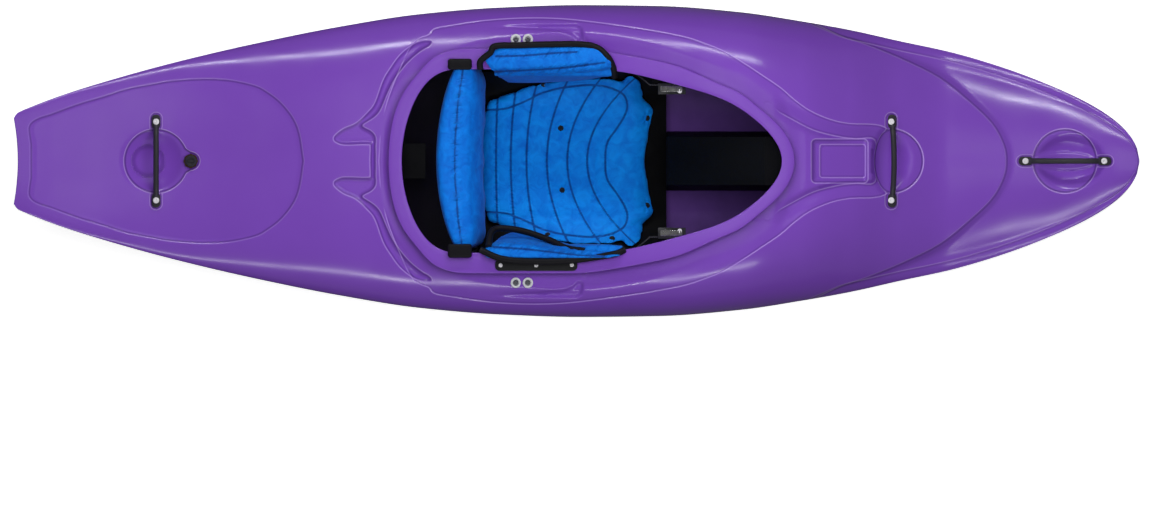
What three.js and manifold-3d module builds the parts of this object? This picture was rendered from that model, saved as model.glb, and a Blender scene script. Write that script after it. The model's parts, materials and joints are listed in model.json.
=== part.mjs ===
// Whitewater kayak with its outfitting: seat, back band, hip pads, ratchets, thigh braces, pillars,
// foot rests, grab handles and drain plug. Lengths are in millimetres.
// +X points to the bow, +Y to port and +Z up. The origin is on the ground below the middle of the hull.
import * as THREE from "three";
import { mergeVertices } from "three/addons/utils/BufferGeometryUtils.js";
import Module from "manifold-3d";

const wasm = await Module();
wasm.setup();

// Hull
const hullLength = 2432;
const beam = 674;
const hullDepth = 374;
const wall = 6;
const sternHollow = 9;
const sternHollowReach = 90;
const sternSolid = 150;
const bowSolid = 60;

// Cockpit opening and its rim
const openingRear = -378;
const openingLength = 822;
const openingWidth = 396;
const rimRear = -407;
const rimLength = 879;
const rimWidth = 486;
const rimThickness = 6;
const rimLip = 11;
const rimLipWidth = 6;
const rimUpstand = 6;
const skirtGap = 26;
const rimSkirt = skirtGap + wall + rimUpstand / 2;

// Fore deck
const channelDepth = 12;
const bowStep = 6;

// Grab handles and the pockets under them
const sternHandleX = -0.3734 * hullLength;
const middleHandleX = 0.2796 * hullLength;
const bowHandleX = 0.4338 * hullLength;
const handleScrewSpacing = 170;
const handlePadLength = 32;
const handlePadWidth = 22;
const handlePadHeight = 7;
const handleStrapWidth = 13;
const handleStrapHeight = 7;
const handleArch = 17;
const pocketRadius = 69;
const pocketDepth = 26;

// Fasteners
const screwRadius = 3;
const screwHeadRadius = 5.5;
const screwHeadHeight = 2.8;
const screwLength = 20;
const bossRadius = 9;
const bossDepth = 26;
const rimScrewLength = 18;
const rimScrewInset = 12;
const boltLength = 24;
const washerRadius = 11.5;
const washerThickness = 2;

// Drain plug
const drainSpacing = 75;
const drainX = sternHandleX + drainSpacing;
const drainHoleRadius = 11;
const drainInsertFlangeRadius = 16;
const drainInsertFlange = 2.5;
const drainInsertLength = 20;
const drainThreadRadius = 7.5;
const drainGasketRadius = 12;
const drainGasketThickness = 2;
const drainHeadRadius = 13;
const drainHeadHeight = 6;
const drainStemLength = 15;

// Seat
const seatRear = -208;
const seatFront = 172;
const seatLip = 22;
const panThickness = 5;
const panBaseZ = 0.091 * hullDepth;
const panHalfWidth = 192;
const panFlatHalfWidth = 120;
const panSideRise = 0.1925 * hullDepth;
const padHalfWidth = 182;
const padThickness = 34;
const padEdge = 9;
const padTuft = 5;
const padScallop = 24;
const tuftRadius = 34;
const hangerFrontX = -84;
const hangerRearX = -152;
const hangerFlange = 18;
const seatBoltY = (0.78 * beam) / 2;
const seatBoltRearX = -131;
const seatBoltFrontX = -105;

// Hip pads
const hipPadRear = -208;
const portHipPadFront = 80;
const starboardHipPadFront = 104;
const hipPadThickness = 28;
const hipPadEdge = 8;

// Plates on the rim
const rimPlateRear = -176;
const rimPlateFront = 2;
const rimPlateWidth = 25;
const rimPlateThickness = 4;
const rimPlateFromOpening = 21;

// Back band
const bandMiddleX = -262;
const bandEndForward = 24;
const bandHalfWidth = 196;
const bandBottomZ = 0.3 * hullDepth;
const bandMiddleTopZ = 0.76 * hullDepth;
const bandEndTopZ = 0.795 * hullDepth;
const bandTopThickness = 34;
const bandBottomThickness = 66;
const bandShellThickness = 4;

// Straps and ratchets
const strapThickness = 3;
const strapWidth = 22;
const strapRearX = -236;
const strapY = 208;
const strapDrop = 12;
const ratchetX = 176;
const ratchetLength = 60;
const ratchetHeight = 32;
const ratchetDepth = 24;
const ratchetWall = 2;
const ratchetY = 168;
const ratchetPinRadius = 3;
const ratchetPinHead = 1.6;
const ratchetKnuckleRadius = 6.5;
const ratchetPinInset = 13;
const ratchetLeverThickness = 3;
const ladderFront = 336;

// Thigh braces
const braceRear = 164;
const braceFront = 322;
const braceThickness = 5;
const braceDrop = 46;
const braceReach = 58;

// Pillars
const frontPillarFront = 0.329 * hullLength;
const frontPillarTopWidth = 104;
const frontPillarBaseWidth = 128;
const frontPillarRearHeight = 0.315 * hullDepth;
const rearPillarRear = -0.329 * hullLength;
const rearPillarSetBack = 44;
const rearPillarFront = bandMiddleX - rearPillarSetBack;
const rearPillarWidth = 76;

// Foot rests
const railSetBack = 100;
const railLength = 230;
const railFront = frontPillarFront - railSetBack;
const railRear = railFront - railLength;
const railHeight = 26;
const railThickness = 14;
const railInset = 6;
const railZ = 0.315 * hullDepth;
const railBoltInset = 20;
const railBoltRadius = 3;
const footPlateForward = 5;
const footPlateX = (railRear + railFront) / 2 + footPlateForward;
const footPlateThickness = 8;
const footPlateWidth = 118;
const footPlateHeight = 0.3 * hullDepth;
const footPlateBottom = 0.165 * hullDepth;
const footShoeLength = 70;
const footShoeThickness = 9;
const footPadThickness = 16;
const footPadInset = 5;

// Clearances
const gap = 0.35;
const holeGap = 0.3;
const slideGap = 0.5;
const softGap = 0.8;
const overrun = 12;

// Hull lines, one row for each station from stern to bow: place along the hull, half beam, keel, chine,
// seam and ridge heights, then the two powers that set how square the deck's crown is.
const lineShares = [
  [0.0, 0.256, 0.717, 0.719, 0.727, 0.736, 4.0, 0.5],
  [0.015, 0.346, 0.679, 0.684, 0.702, 0.72, 4.0, 0.5],
  [0.041, 0.417, 0.607, 0.617, 0.65, 0.671, 4.0, 0.5],
  [0.086, 0.519, 0.497, 0.525, 0.569, 0.607, 4.0, 0.6],
  [0.148, 0.641, 0.353, 0.405, 0.501, 0.566, 4.0, 0.6],
  [0.219, 0.76, 0.225, 0.275, 0.468, 0.601, 3.8, 0.6],
  [0.29, 0.862, 0.139, 0.197, 0.454, 0.655, 3.4, 0.58],
  [0.361, 0.942, 0.081, 0.147, 0.451, 0.688, 3.6, 0.52],
  [0.432, 0.984, 0.05, 0.118, 0.468, 0.76, 4.2, 0.5],
  [0.503, 1.0, 0.023, 0.101, 0.486, 0.86, 4.6, 0.5],
  [0.574, 0.994, 0.0, 0.088, 0.497, 0.93, 4.6, 0.5],
  [0.645, 0.955, 0.0, 0.079, 0.5, 0.955, 4.0, 0.52],
  [0.699, 0.897, 0.0, 0.078, 0.491, 0.91, 3.0, 0.6],
  [0.743, 0.84, 0.012, 0.094, 0.462, 0.802, 2.5, 0.72],
  [0.787, 0.769, 0.046, 0.125, 0.421, 0.652, 2.3, 0.8],
  [0.832, 0.699, 0.104, 0.171, 0.396, 0.566, 2.2, 0.9],
  [0.876, 0.606, 0.188, 0.24, 0.402, 0.563, 2.2, 1.0],
  [0.92, 0.487, 0.309, 0.324, 0.46, 0.583, 2.2, 1.0],
  [0.956, 0.365, 0.434, 0.447, 0.517, 0.618, 2.2, 0.9],
  [0.983, 0.231, 0.561, 0.57, 0.595, 0.66, 2.5, 0.8],
  [1.0, 0.0, 0.67, 0.671, 0.672, 0.674, 3.0, 0.6],
];
const flatWidthShare = 0.56;
const chineWidthShare = 0.84;
const sideTurn = Math.PI / 3;

// Rim height along the hull, then half widths along the hull of the sunken platform round the rim and
// of the channels that run forward from it, and the place of the bow step across the hull.
const rimHeightShares = [
  [0.32, 0.726], [0.354, 0.735], [0.392, 0.74], [0.42, 0.757], [0.459, 0.795], [0.492, 0.829],
  [0.527, 0.873], [0.554, 0.915], [0.587, 0.957], [0.623, 0.988], [0.656, 1.0], [0.682, 0.99], [0.7, 0.973],
];
const platformShares = [
  [0.325, 0.0], [0.331, 0.36], [0.345, 0.56], [0.365, 0.72], [0.388, 0.85], [0.432, 0.885], [0.486, 0.885],
  [0.505, 0.8], [0.54, 0.745], [0.592, 0.66], [0.636, 0.6], [0.672, 0.42], [0.694, 0.22], [0.706, 0.0],
];
const channelShares = [[0.68, 0.44], [0.7, 0.37], [0.72, 0.28], [0.752, 0.215], [0.78, 0.2]];
const bowStepShares = [
  [0.0, 0.881], [0.2, 0.872], [0.36, 0.852], [0.505, 0.828], [0.635, 0.797], [0.77, 0.752], [0.88, 0.701], [1.0, 0.66],
];
const platformFadeShare = 0.05;
const channelFadeShare = 0.05;
const stepFadeShare = 0.006;

// Plan outlines of the opening and of the rim: place from the rear end, and half width.
const openingShares = [
  [0.0, 0.0], [0.012, 0.4], [0.045, 0.74], [0.085, 0.93], [0.13, 1.0], [0.35, 1.0], [0.556, 0.985],
  [0.65, 0.91], [0.75, 0.8], [0.79, 0.755], [0.86, 0.645], [0.93, 0.45], [0.975, 0.26], [1.0, 0.0],
];
const rimShares = [
  [0.0, 0.0], [0.01, 0.36], [0.035, 0.6], [0.079, 0.8], [0.106, 0.92], [0.177, 1.0], [0.474, 1.0], [0.54, 0.97],
  [0.64, 0.905], [0.705, 0.855], [0.803, 0.7], [0.87, 0.6], [0.902, 0.5], [0.96, 0.32], [1.0, 0.0],
];

// Sections of the hip pads: distance out from the middle as a share of the opening's half width, and
// height above the rim as a share of the hull's depth.
const portHipShares = [[0.77, -0.48], [0.83, -0.3], [0.875, -0.1], [0.945, 0.035], [1.12, 0.056], [1.29, 0.05]];
const starboardHipShares = [[0.77, -0.48], [0.82, -0.3], [0.87, -0.1], [0.945, 0.033], [1.1, 0.052]];
// How much of a hip pad's length is left off its rear end, from its lower edge to its upper one.
const hipRearShares = [[0.0, 0.2], [0.3, 0.13], [0.62, 0.075], [0.8, 0.015], [1.0, 0.05]];

// Seat pad plan: place from the rear end and half width. Tufts: place along, and place across.
const padPlanShares = [
  [0.0, 0.0], [0.012, 0.5], [0.05, 0.7], [0.3, 0.75], [0.6, 0.77], [0.78, 0.86], [0.9, 1.0], [0.975, 0.96], [1.0, 0.78],
];
const tuftShares = [[0.36, 0.8], [0.46, 0.34], [0.94, 0.45]];
const padChannelShares = [0.1, 0.18, 0.27, 0.36, 0.46];

// Route of the straps: shares of the way along, across and up from the back band to the ratchet.
const strapShares = [
  [0.21, 0, 0.02], [0.475, 0, 0.2], [0.695, 0, 0.42], [0.79, 0.07, 0.58], [0.86, 0.32, 0.745], [0.92, 0.69, 0.89],
  [0.96, 1, 0.967],
];

// Mesh steps
const hullStations = 40;
const deckSteps = 8;
const sideSteps = 3;
const rimSteps = 24;
const roundSteps = 8;
const turningSteps = 16;
const ballSteps = 13;
const bendSteps = 2;
const hipPadSteps = 10;
const braceSteps = 8;
const strapSteps = 22;

// A smooth curve through [place, value, ...] rows that never overshoots them.
function curveThrough(rows, column = 1) {
  const xs = rows.map((row) => row[0]);
  const ys = rows.map((row) => row[column]);
  const last = xs.length - 1;
  const rises = xs.slice(1).map((x, i) => (ys[i + 1] - ys[i]) / (x - xs[i]));
  const slopes = ys.map((_, i) => {
    if (i === 0) return rises[0];
    if (i === last) return rises[last - 1];
    const [a, b] = [rises[i - 1], rises[i]];
    return a * b <= 0 ? 0 : (2 * a * b) / (a + b);
  });
  return (x) => {
    if (x <= xs[0]) return ys[0];
    if (x >= xs[last]) return ys[last];
    const i = xs.findIndex((edge) => x < edge) - 1;
    const width = xs[i + 1] - xs[i];
    const t = (x - xs[i]) / width;
    return (
      ys[i] * (1 + 2 * t) * (1 - t) ** 2 +
      slopes[i] * width * t * (1 - t) ** 2 +
      ys[i + 1] * t * t * (3 - 2 * t) +
      slopes[i + 1] * width * t * t * (t - 1)
    );
  };
}

// The same, for a half width that closes in a round end.
function roundCurveThrough(rows, column = 1) {
  const square = curveThrough(rows.map((row) => [row[0], row[column] ** 2]));
  return (x) => Math.sqrt(Math.max(square(x), 0));
}

function smooth(t) {
  const u = Math.min(Math.max(t, 0), 1);
  return u * u * (3 - 2 * u);
}

const blend = (a, b, t) => a + (b - a) * t;

const halfBeamAt = roundCurveThrough(lineShares, 1);
const keelAt = curveThrough(lineShares, 2);
const chineAt = curveThrough(lineShares, 3);
const seamAt = curveThrough(lineShares, 4);
const ridgeAt = curveThrough(lineShares, 5);
const crownAt = curveThrough(lineShares, 6);
const edgeAt = curveThrough(lineShares, 7);
const rimAt = curveThrough(rimHeightShares);
const platformAt = roundCurveThrough(platformShares);
const channelAt = curveThrough(channelShares);
const bowStepAt = curveThrough(bowStepShares);
const openingAt = roundCurveThrough(openingShares);
const rimOutlineAt = roundCurveThrough(rimShares);

const placeOf = (x) => x / hullLength + 0.5;
const halfBeam = (x) => (halfBeamAt(placeOf(x)) * beam) / 2;
const keelZ = (x) => keelAt(placeOf(x)) * hullDepth;
const rimZ = (x) => rimAt(placeOf(x)) * hullDepth;
const ratchetZ = rimZ(ratchetX + ratchetLength / 2) - rimSkirt - ratchetWall - ratchetHeight / 2;
const strapRearZ = rimZ(strapRearX) - rimSkirt - strapDrop - strapWidth;
const openingHalf = (x) => (openingAt((x - openingRear) / openingLength) * openingWidth) / 2;
const floorZ = (x) => keelZ(x) + wall;

// Height of the deck's outer face.
function deckZ(x, y) {
  const place = placeOf(x);
  const across = Math.min(Math.abs(y) / Math.max(halfBeam(x), gap), 1);
  const yShare = Math.abs(y) / (beam / 2);
  const seam = seamAt(place) * hullDepth;
  const ridge = ridgeAt(place) * hullDepth;
  let z = seam + (ridge - seam) * (1 - across ** crownAt(place)) ** edgeAt(place);
  z -= bowStep * smooth((place - bowStepAt(across)) / stepFadeShare) * smooth((1 - across) * 6);
  if (place > channelShares[0][0] && place < channelShares.at(-1)[0]) {
    z -= channelDepth * smooth((channelAt(place) - yShare) / channelFadeShare);
  }
  const sunken = smooth((platformAt(place) - yShare) / platformFadeShare);
  return blend(z, Math.min(rimZ(x) - skirtGap, z), sunken);
}

// One cross-section of the hull's outer face, as [y, z] from the ridge down the port side to the keel.
function halfSection(x) {
  const half = halfBeam(x);
  const place = placeOf(x);
  const seam = seamAt(place) * hullDepth;
  const chine = chineAt(place) * hullDepth;
  const chineY = half * chineWidthShare;
  const points = [];
  for (let i = 0; i < deckSteps; i++) {
    const y = half * Math.sin((Math.PI / 2) * (i / deckSteps));
    points.push([y, deckZ(x, y)]);
  }
  for (let i = 0; i <= sideSteps; i++) {
    const turn = (sideTurn * i) / sideSteps;
    const out = (Math.cos(turn) - Math.cos(sideTurn)) / (1 - Math.cos(sideTurn));
    points.push([chineY + (half - chineY) * out, seam - ((seam - chine) * Math.sin(turn)) / Math.sin(sideTurn)]);
  }
  points.push([half * flatWidthShare, keelZ(x)], [0, keelZ(x)]);
  return points;
}

// The same section moved in by the wall.
function innerHalfSection(x) {
  const narrowing = (halfBeam(x) - wall) / halfBeam(x);
  const seam = seamAt(placeOf(x)) * hullDepth;
  const keel = keelZ(x);
  return halfSection(x).map(([y, z], i) => {
    const lift = i < deckSteps ? -wall : wall * ((2 * (seam - z)) / (seam - keel) - 1);
    return [y * narrowing, z + lift];
  });
}

// How far the stern's hollow end is drawn in, at a point of a section.
function sternShift(x, y) {
  const near = smooth(1 - (x + hullLength / 2) / sternHollowReach);
  return sternHollow * near * (1 - (y / halfBeam(x)) ** 2);
}

function geometryFrom(points, faces) {
  const geometry = new THREE.BufferGeometry();
  geometry.setAttribute("position", new THREE.Float32BufferAttribute(points.flat(), 3));
  geometry.setIndex(faces);
  return geometry;
}

// A closed body through rings of [x, y, z] points that all run the same way round. Its ends are closed by
// fans where the rings are convex, and by cut triangles where they are hollowed. In a loop the last ring
// meets the first.
function loft(rings, ends = "convex") {
  const count = rings[0].length;
  const points = rings.flat();
  const faces = [];
  const spans = ends === "loop" ? rings.length : rings.length - 1;
  for (let i = 0; i < spans; i++) {
    const next = (i + 1) % rings.length;
    for (let j = 0; j < count; j++) {
      const k = (j + 1) % count;
      const [a, b] = [i * count + j, i * count + k];
      const [c, d] = [next * count + k, next * count + j];
      faces.push(a, b, c, a, c, d);
    }
  }
  const last = (rings.length - 1) * count;
  if (ends === "hollowed") {
    faces.push(...endFaces(rings[0]).reverse(), ...endFaces(rings.at(-1)).map((i) => last + i));
  }
  if (ends === "convex") {
    for (const [ring, start] of [[rings[0], 0], [rings.at(-1), last]]) {
      const hub = points.push([0, 1, 2].map((axis) => ring.reduce((sum, p) => sum + p[axis], 0) / count)) - 1;
      for (let j = 0; j < count; j++) {
        const pair = [start + j, start + ((j + 1) % count)];
        faces.push(hub, ...(start === 0 ? pair.reverse() : pair));
      }
    }
  }
  return outward(geometryFrom(points, faces));
}

// Triangles that close a hollowed ring, which is seen along the axis where it is thinnest.
function endFaces(ring) {
  const spread = [0, 1, 2].map((axis) => {
    const values = ring.map((p) => p[axis]);
    return Math.max(...values) - Math.min(...values);
  });
  const thin = spread.indexOf(Math.min(...spread));
  const flat = ring.map((p) => new THREE.Vector2(p[(thin + 1) % 3], p[(thin + 2) % 3]));
  const forward = THREE.ShapeUtils.area(flat) > 0;
  const triangles = THREE.ShapeUtils.triangulateShape(flat, []);
  return triangles.flatMap(([a, b, c]) => (forward ? [a, b, c] : [a, c, b]));
}

// Turns the faces of a closed body round where they point inwards.
function outward(geometry) {
  const solid = solidOf(geometry);
  if (solid.volume() > 0) return geometry;
  const index = geometry.index.array;
  for (let i = 0; i < index.length; i += 3) {
    [index[i + 1], index[i + 2]] = [index[i + 2], index[i + 1]];
  }
  return geometry;
}

function solidOf(geometry) {
  const bare = geometry.index ? geometry.toNonIndexed() : geometry.clone();
  bare.deleteAttribute("normal");
  bare.deleteAttribute("uv");
  const merged = mergeVertices(bare);
  return new wasm.Manifold(
    new wasm.Mesh({
      numProp: 3,
      vertProperties: merged.attributes.position.array,
      triVerts: new Uint32Array(merged.index.array),
    }),
  );
}

function geometryOf(solid) {
  const mesh = solid.getMesh();
  const geometry = new THREE.BufferGeometry();
  geometry.setAttribute("position", new THREE.BufferAttribute(new Float32Array(mesh.vertProperties), 3));
  geometry.setIndex(new THREE.BufferAttribute(new Uint32Array(mesh.triVerts), 1));
  return geometry;
}

const join = (first, ...rest) => geometryOf(rest.reduce((sum, g) => sum.add(solidOf(g)), solidOf(first)));
const cut = (first, ...rest) => geometryOf(rest.reduce((sum, g) => sum.subtract(solidOf(g)), solidOf(first)));
const common = (a, b) => geometryOf(solidOf(a).intersect(solidOf(b)));
const moved = (geometry, x, y, z) => geometry.clone().translate(x, y, z);

// Round bodies stand on their local origin and point up.
function cylinder(radius, height, steps = roundSteps) {
  return new THREE.CylinderGeometry(radius, radius, height, steps).rotateX(Math.PI / 2).translate(0, 0, height / 2);
}

function box(x0, x1, y0, y1, z0, z1) {
  const size = [x1 - x0, y1 - y0, z1 - z0];
  return new THREE.BoxGeometry(...size).translate((x0 + x1) / 2, (y0 + y1) / 2, (z0 + z1) / 2);
}

function ball(radius) {
  return new THREE.SphereGeometry(radius, ballSteps * 2, ballSteps);
}

// A turned body from [radius, height] points that start and end on the axis.
function turned(points, steps = roundSteps) {
  const profile = points.map(([r, z]) => new THREE.Vector2(r, z));
  return new THREE.LatheGeometry(profile, steps).rotateX(Math.PI / 2);
}

// A pan-head screw whose head stands on z = 0 and whose shank points down.
function screw(length) {
  return turned([
    [0, -length],
    [screwRadius, -length],
    [screwRadius, 0],
    [screwHeadRadius, 0],
    [screwHeadRadius * 0.8, screwHeadHeight],
    [0, screwHeadHeight],
  ]);
}

// Outline of a rectangle with round corners.
function roundedRectangle(width, height, radius) {
  const shape = new THREE.Shape();
  const [w, h] = [width / 2 - radius, height / 2 - radius];
  shape.absarc(w, h, radius, 0, Math.PI / 2);
  shape.absarc(-w, h, radius, Math.PI / 2, Math.PI);
  shape.absarc(-w, -h, radius, Math.PI, (3 * Math.PI) / 2);
  shape.absarc(w, -h, radius, (3 * Math.PI) / 2, 2 * Math.PI);
  return shape;
}

// A pad between two faces that lie half its thickness either side of a middle surface.
function cushion(middleAt, thicknessAt, stepsU, stepsV) {
  const faces = [1, -1].map((side) => {
    const rows = [];
    for (let i = 0; i <= stepsU; i++) {
      for (let j = 0; j <= stepsV; j++) {
        const [u, v] = [i / stepsU, j / stepsV];
        const h = 1e-3;
        const [u0, u1] = [Math.max(u - h, 0), Math.min(u + h, 1)];
        const [v0, v1] = [Math.max(v - h, 0), Math.min(v + h, 1)];
        const alongU = middleAt(u1, v).sub(middleAt(u0, v));
        const alongV = middleAt(u, v1).sub(middleAt(u, v0));
        const normal = alongU.cross(alongV).normalize();
        const point = middleAt(u, v).addScaledVector(normal, (side * thicknessAt(u, v, side)) / 2);
        rows.push(point.toArray());
      }
    }
    return rows;
  });
  return sheetPair(faces[0], faces[1], stepsU, stepsV);
}

// Closes two matching grids of points into one body.
function sheetPair(upper, lower, stepsU, stepsV) {
  const across = stepsV + 1;
  const offset = upper.length;
  const faces = [];
  for (let i = 0; i < stepsU; i++) {
    for (let j = 0; j < stepsV; j++) {
      const [a, b, c, d] = [i * across + j, (i + 1) * across + j, (i + 1) * across + j + 1, i * across + j + 1];
      faces.push(a, b, c, a, c, d);
      faces.push(offset + a, offset + c, offset + b, offset + a, offset + d, offset + c);
    }
  }
  const edge = [];
  for (let j = 0; j < stepsV; j++) edge.push(j);
  for (let i = 0; i < stepsU; i++) edge.push(i * across + stepsV);
  for (let j = stepsV; j > 0; j--) edge.push(stepsU * across + j);
  for (let i = stepsU; i > 0; i--) edge.push(i * across);
  edge.forEach((a, k) => {
    const b = edge[(k + 1) % edge.length];
    faces.push(a, b, offset + b, a, offset + b, offset + a);
  });
  return outward(geometryFrom([...upper, ...lower], faces));
}

// Hull skins
const stations = [];
for (let i = 0; i <= hullStations; i++) {
  const t = i / hullStations;
  stations.push(blend(t, (1 - Math.cos(Math.PI * t)) / 2, 0.45));
}

function hullRing(x, half) {
  const mirrored = half.slice(1, -1).reverse().map(([y, z]) => [-y, z]);
  return [...half, ...mirrored].map(([y, z]) => [x + sternShift(x, y), y, z]);
}

function hullSkin() {
  const last = 1 - 1 / hullLength;
  return loft(stations.map((t) => (Math.min(t, last) - 0.5) * hullLength).map((x) => hullRing(x, halfSection(x))));
}

function hullCavity() {
  const [rear, front] = [sternSolid - hullLength / 2, hullLength / 2 - bowSolid];
  const inside = stations.map((t) => (t - 0.5) * hullLength).filter((x) => x > rear && x < front);
  return loft([rear, ...inside, front].map((x) => hullRing(x, innerHalfSection(x))));
}

// Rim of the cockpit, swept round the opening.
function rimRing(sectionAt) {
  const rings = [];
  for (let i = 0; i < 2 * rimSteps; i++) {
    const turn = (Math.PI * i) / rimSteps;
    const along = (1 - Math.cos(turn)) / 2;
    const side = i <= rimSteps ? 1 : -1;
    const inner = [openingRear + along * openingLength, (side * openingAt(along) * openingWidth) / 2];
    const outer = [rimRear + along * rimLength, (side * rimOutlineAt(along) * rimWidth) / 2];
    const width = Math.hypot(outer[0] - inner[0], outer[1] - inner[1]);
    rings.push(
      sectionAt(width).map(([out, rise]) => {
        const x = blend(inner[0], outer[0], out / width);
        return [x, blend(inner[1], outer[1], out / width), rimZ(x) + rise];
      }),
    );
  }
  return rings;
}

function cockpitRim() {
  return loft(
    rimRing((width) => [
      [0, 0],
      [width, 0],
      [width, -rimLip],
      [width - rimLipWidth, -rimLip],
      [width - rimLipWidth, -rimThickness],
      [rimUpstand, -rimThickness],
      [rimUpstand, -rimSkirt],
      [0, -rimSkirt],
    ]),
    "loop",
  );
}

// The opening as a solid plug, a little wider than the clear opening so that the rim's upstand closes it.
function openingPlug() {
  const outline = rimRing(() => [[rimUpstand / 2, 0]]).map((ring) => ring[0]);
  const low = outline.map(([x, y]) => [x, y, rimZ(x) - skirtGap - wall - bossDepth]);
  const high = outline.map(([x, y]) => [x, y, hullDepth + overrun]);
  return loft([low, high]);
}

const pocketBallRadius = (pocketRadius ** 2 + pocketDepth ** 2) / (2 * pocketDepth);
const pocketAt = (x, radius) => moved(ball(radius), x, 0, deckZ(x, 0) + pocketBallRadius - pocketDepth);

// Each grab handle: the ends of its screws' line.
const halfSpacing = handleScrewSpacing / 2;
const handles = {
  stern: [[sternHandleX, halfSpacing], [sternHandleX, -halfSpacing]],
  middle: [[middleHandleX, halfSpacing], [middleHandleX, -halfSpacing]],
  bow: [[bowHandleX - halfSpacing, 0], [bowHandleX + halfSpacing, 0]],
};
const handleCentres = { stern: sternHandleX, middle: middleHandleX, bow: bowHandleX };
const handlePoints = Object.values(handles).flat();
const rimPlateScrewXs = [
  rimPlateRear + rimScrewInset,
  (rimPlateRear + rimPlateFront) / 2,
  rimPlateFront - rimScrewInset,
];
const rimPlateY = (x) => openingHalf(x) + rimPlateFromOpening + rimPlateWidth / 4;
const seatBoltXs = [seatBoltRearX, seatBoltFrontX];

const skin = hullSkin();
const skinAbove = moved(skin, 0, 0, gap);
const cavity = hullCavity();
const rim = cockpitRim();

// Height of the skin's highest point within a radius of a place on the deck.
function skinTop(x, y, radius) {
  const column = moved(cylinder(radius, 2 * hullDepth), x, y, -hullDepth / 2);
  return solidOf(common(column, skin)).boundingBox().max[2];
}
const seatBoltZ = (x, side) => skinTop(x, side * seatBoltY, washerRadius);

// What stands inside the skin: walls of the handle pockets and bosses for the handles' screws.
const pocketWalls = Object.values(handleCentres).map((x) => pocketAt(x, pocketBallRadius + wall));
const screwBosses = handlePoints.map(([x, y]) =>
  moved(cylinder(bossRadius, bossDepth + overrun), x, y, deckZ(x, y) - bossDepth),
);
const inside = common(join(pocketWalls[0], ...pocketWalls.slice(1), ...screwBosses), skin);

function hullShell() {
  const hole = holeGap + screwRadius;
  const pockets = Object.values(handleCentres).map((x) => pocketAt(x, pocketBallRadius));
  const screwHoles = handlePoints.map(([x, y]) =>
    moved(cylinder(hole, screwLength + overrun), x, y, deckZ(x, y) - screwLength),
  );
  const plateHoles = [1, -1].flatMap((side) =>
    rimPlateScrewXs.map((x) => moved(cylinder(hole, skirtGap), x, side * rimPlateY(x), rimZ(x) - skirtGap / 2)),
  );
  const boltHoles = [1, -1].flatMap((side) =>
    seatBoltXs.map((x) => {
      return moved(cylinder(hole, boltLength + overrun), x, side * seatBoltY, seatBoltZ(x, side) - boltLength);
    }),
  );
  const drain = moved(cylinder(drainHoleRadius, 2 * overrun), drainX, 0, deckZ(drainX, 0) - overrun);
  const shell = join(cut(skin, cavity), inside);
  const opened = join(cut(shell, openingPlug(), ...pockets), rim);
  return cut(opened, ...screwHoles, ...plateHoles, ...boltHoles, drain);
}

// Cuts a piece that stands inside the hull back to a small gap from it. The piece stands under the deck.
const roof = moved(cavity, 0, 0, -gap);
function underDeck(piece) {
  return cut(common(piece, roof), moved(inside, 0, 0, -gap), moved(rim, 0, 0, -gap));
}

// Cuts the foot of a piece that stands on the deck to the deck's shape.
const onDeck = (piece) => cut(piece, skinAbove);

// Grab handles
function grabHandle([[x0, y0], [x1, y1]]) {
  const ends = [new THREE.Vector3(x0, y0, deckZ(x0, y0)), new THREE.Vector3(x1, y1, deckZ(x1, y1))];
  const along = ends[1].clone().sub(ends[0]);
  const heading = Math.atan2(along.y, along.x);
  const pads = ends.map((end) => {
    const outline = roundedRectangle(handlePadLength, handlePadWidth, handlePadWidth / 3);
    const pad = new THREE.ExtrudeGeometry(outline, {
      depth: handlePadHeight + overrun,
      bevelEnabled: false,
      curveSegments: bendSteps,
    });
    return moved(pad.rotateZ(heading), end.x, end.y, end.z - overrun);
  });
  const archShares = [[0.075, 0], [0.18, 0.62], [0.5, 1], [0.82, 0.62], [0.925, 0]];
  const route = archShares.map(([share, rise]) => {
    const point = ends[0].clone().addScaledVector(along, share);
    point.z += handlePadHeight - handleStrapHeight / 2 + rise * handleArch;
    return point;
  });
  const strap = new THREE.ExtrudeGeometry(
    roundedRectangle(handleStrapHeight, handleStrapWidth, handleStrapHeight / 3),
    { extrudePath: new THREE.CatmullRomCurve3(route), steps: roundSteps, curveSegments: 1, bevelEnabled: false },
  );
  const holes = ends.map((end) =>
    moved(cylinder(screwRadius + holeGap, 4 * overrun), end.x, end.y, end.z - 2 * overrun),
  );
  return cut(onDeck(join(strap, ...pads)), ...holes);
}

// Drain
const drainDeckZ = deckZ(drainX, 0);
const drainTopZ = drainDeckZ + drainInsertFlange;
function drainInsert() {
  const body = turned([
    [0, -drainInsertLength],
    [drainHoleRadius - gap, -drainInsertLength],
    [drainHoleRadius - gap, -overrun / 4],
    [drainInsertFlangeRadius, -overrun / 4],
    [drainInsertFlangeRadius, drainInsertFlange],
    [0, drainInsertFlange],
  ]);
  const drill = cylinder(drainThreadRadius + gap, 2 * drainInsertLength, turningSteps);
  const bore = moved(drill, 0, 0, -1.5 * drainInsertLength);
  const placed = moved(cut(body, bore), drainX, 0, drainDeckZ);
  const flangeSlice = box(
    drainX - 2 * drainHeadRadius,
    drainX + 2 * drainHeadRadius,
    -2 * drainHeadRadius,
    2 * drainHeadRadius,
    drainDeckZ - overrun,
    drainDeckZ + overrun,
  );
  const barrel = cylinder(drainHoleRadius - gap, 4 * drainInsertLength);
  const core = moved(barrel, drainX, 0, drainDeckZ - 2 * drainInsertLength);
  return cut(placed, cut(common(skinAbove, flangeSlice), core));
}

function drainGasket() {
  const ring = cylinder(drainGasketRadius, drainGasketThickness, turningSteps);
  return cut(ring, moved(cylinder(drainThreadRadius + gap, 3 * overrun, turningSteps), 0, 0, -overrun));
}

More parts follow.
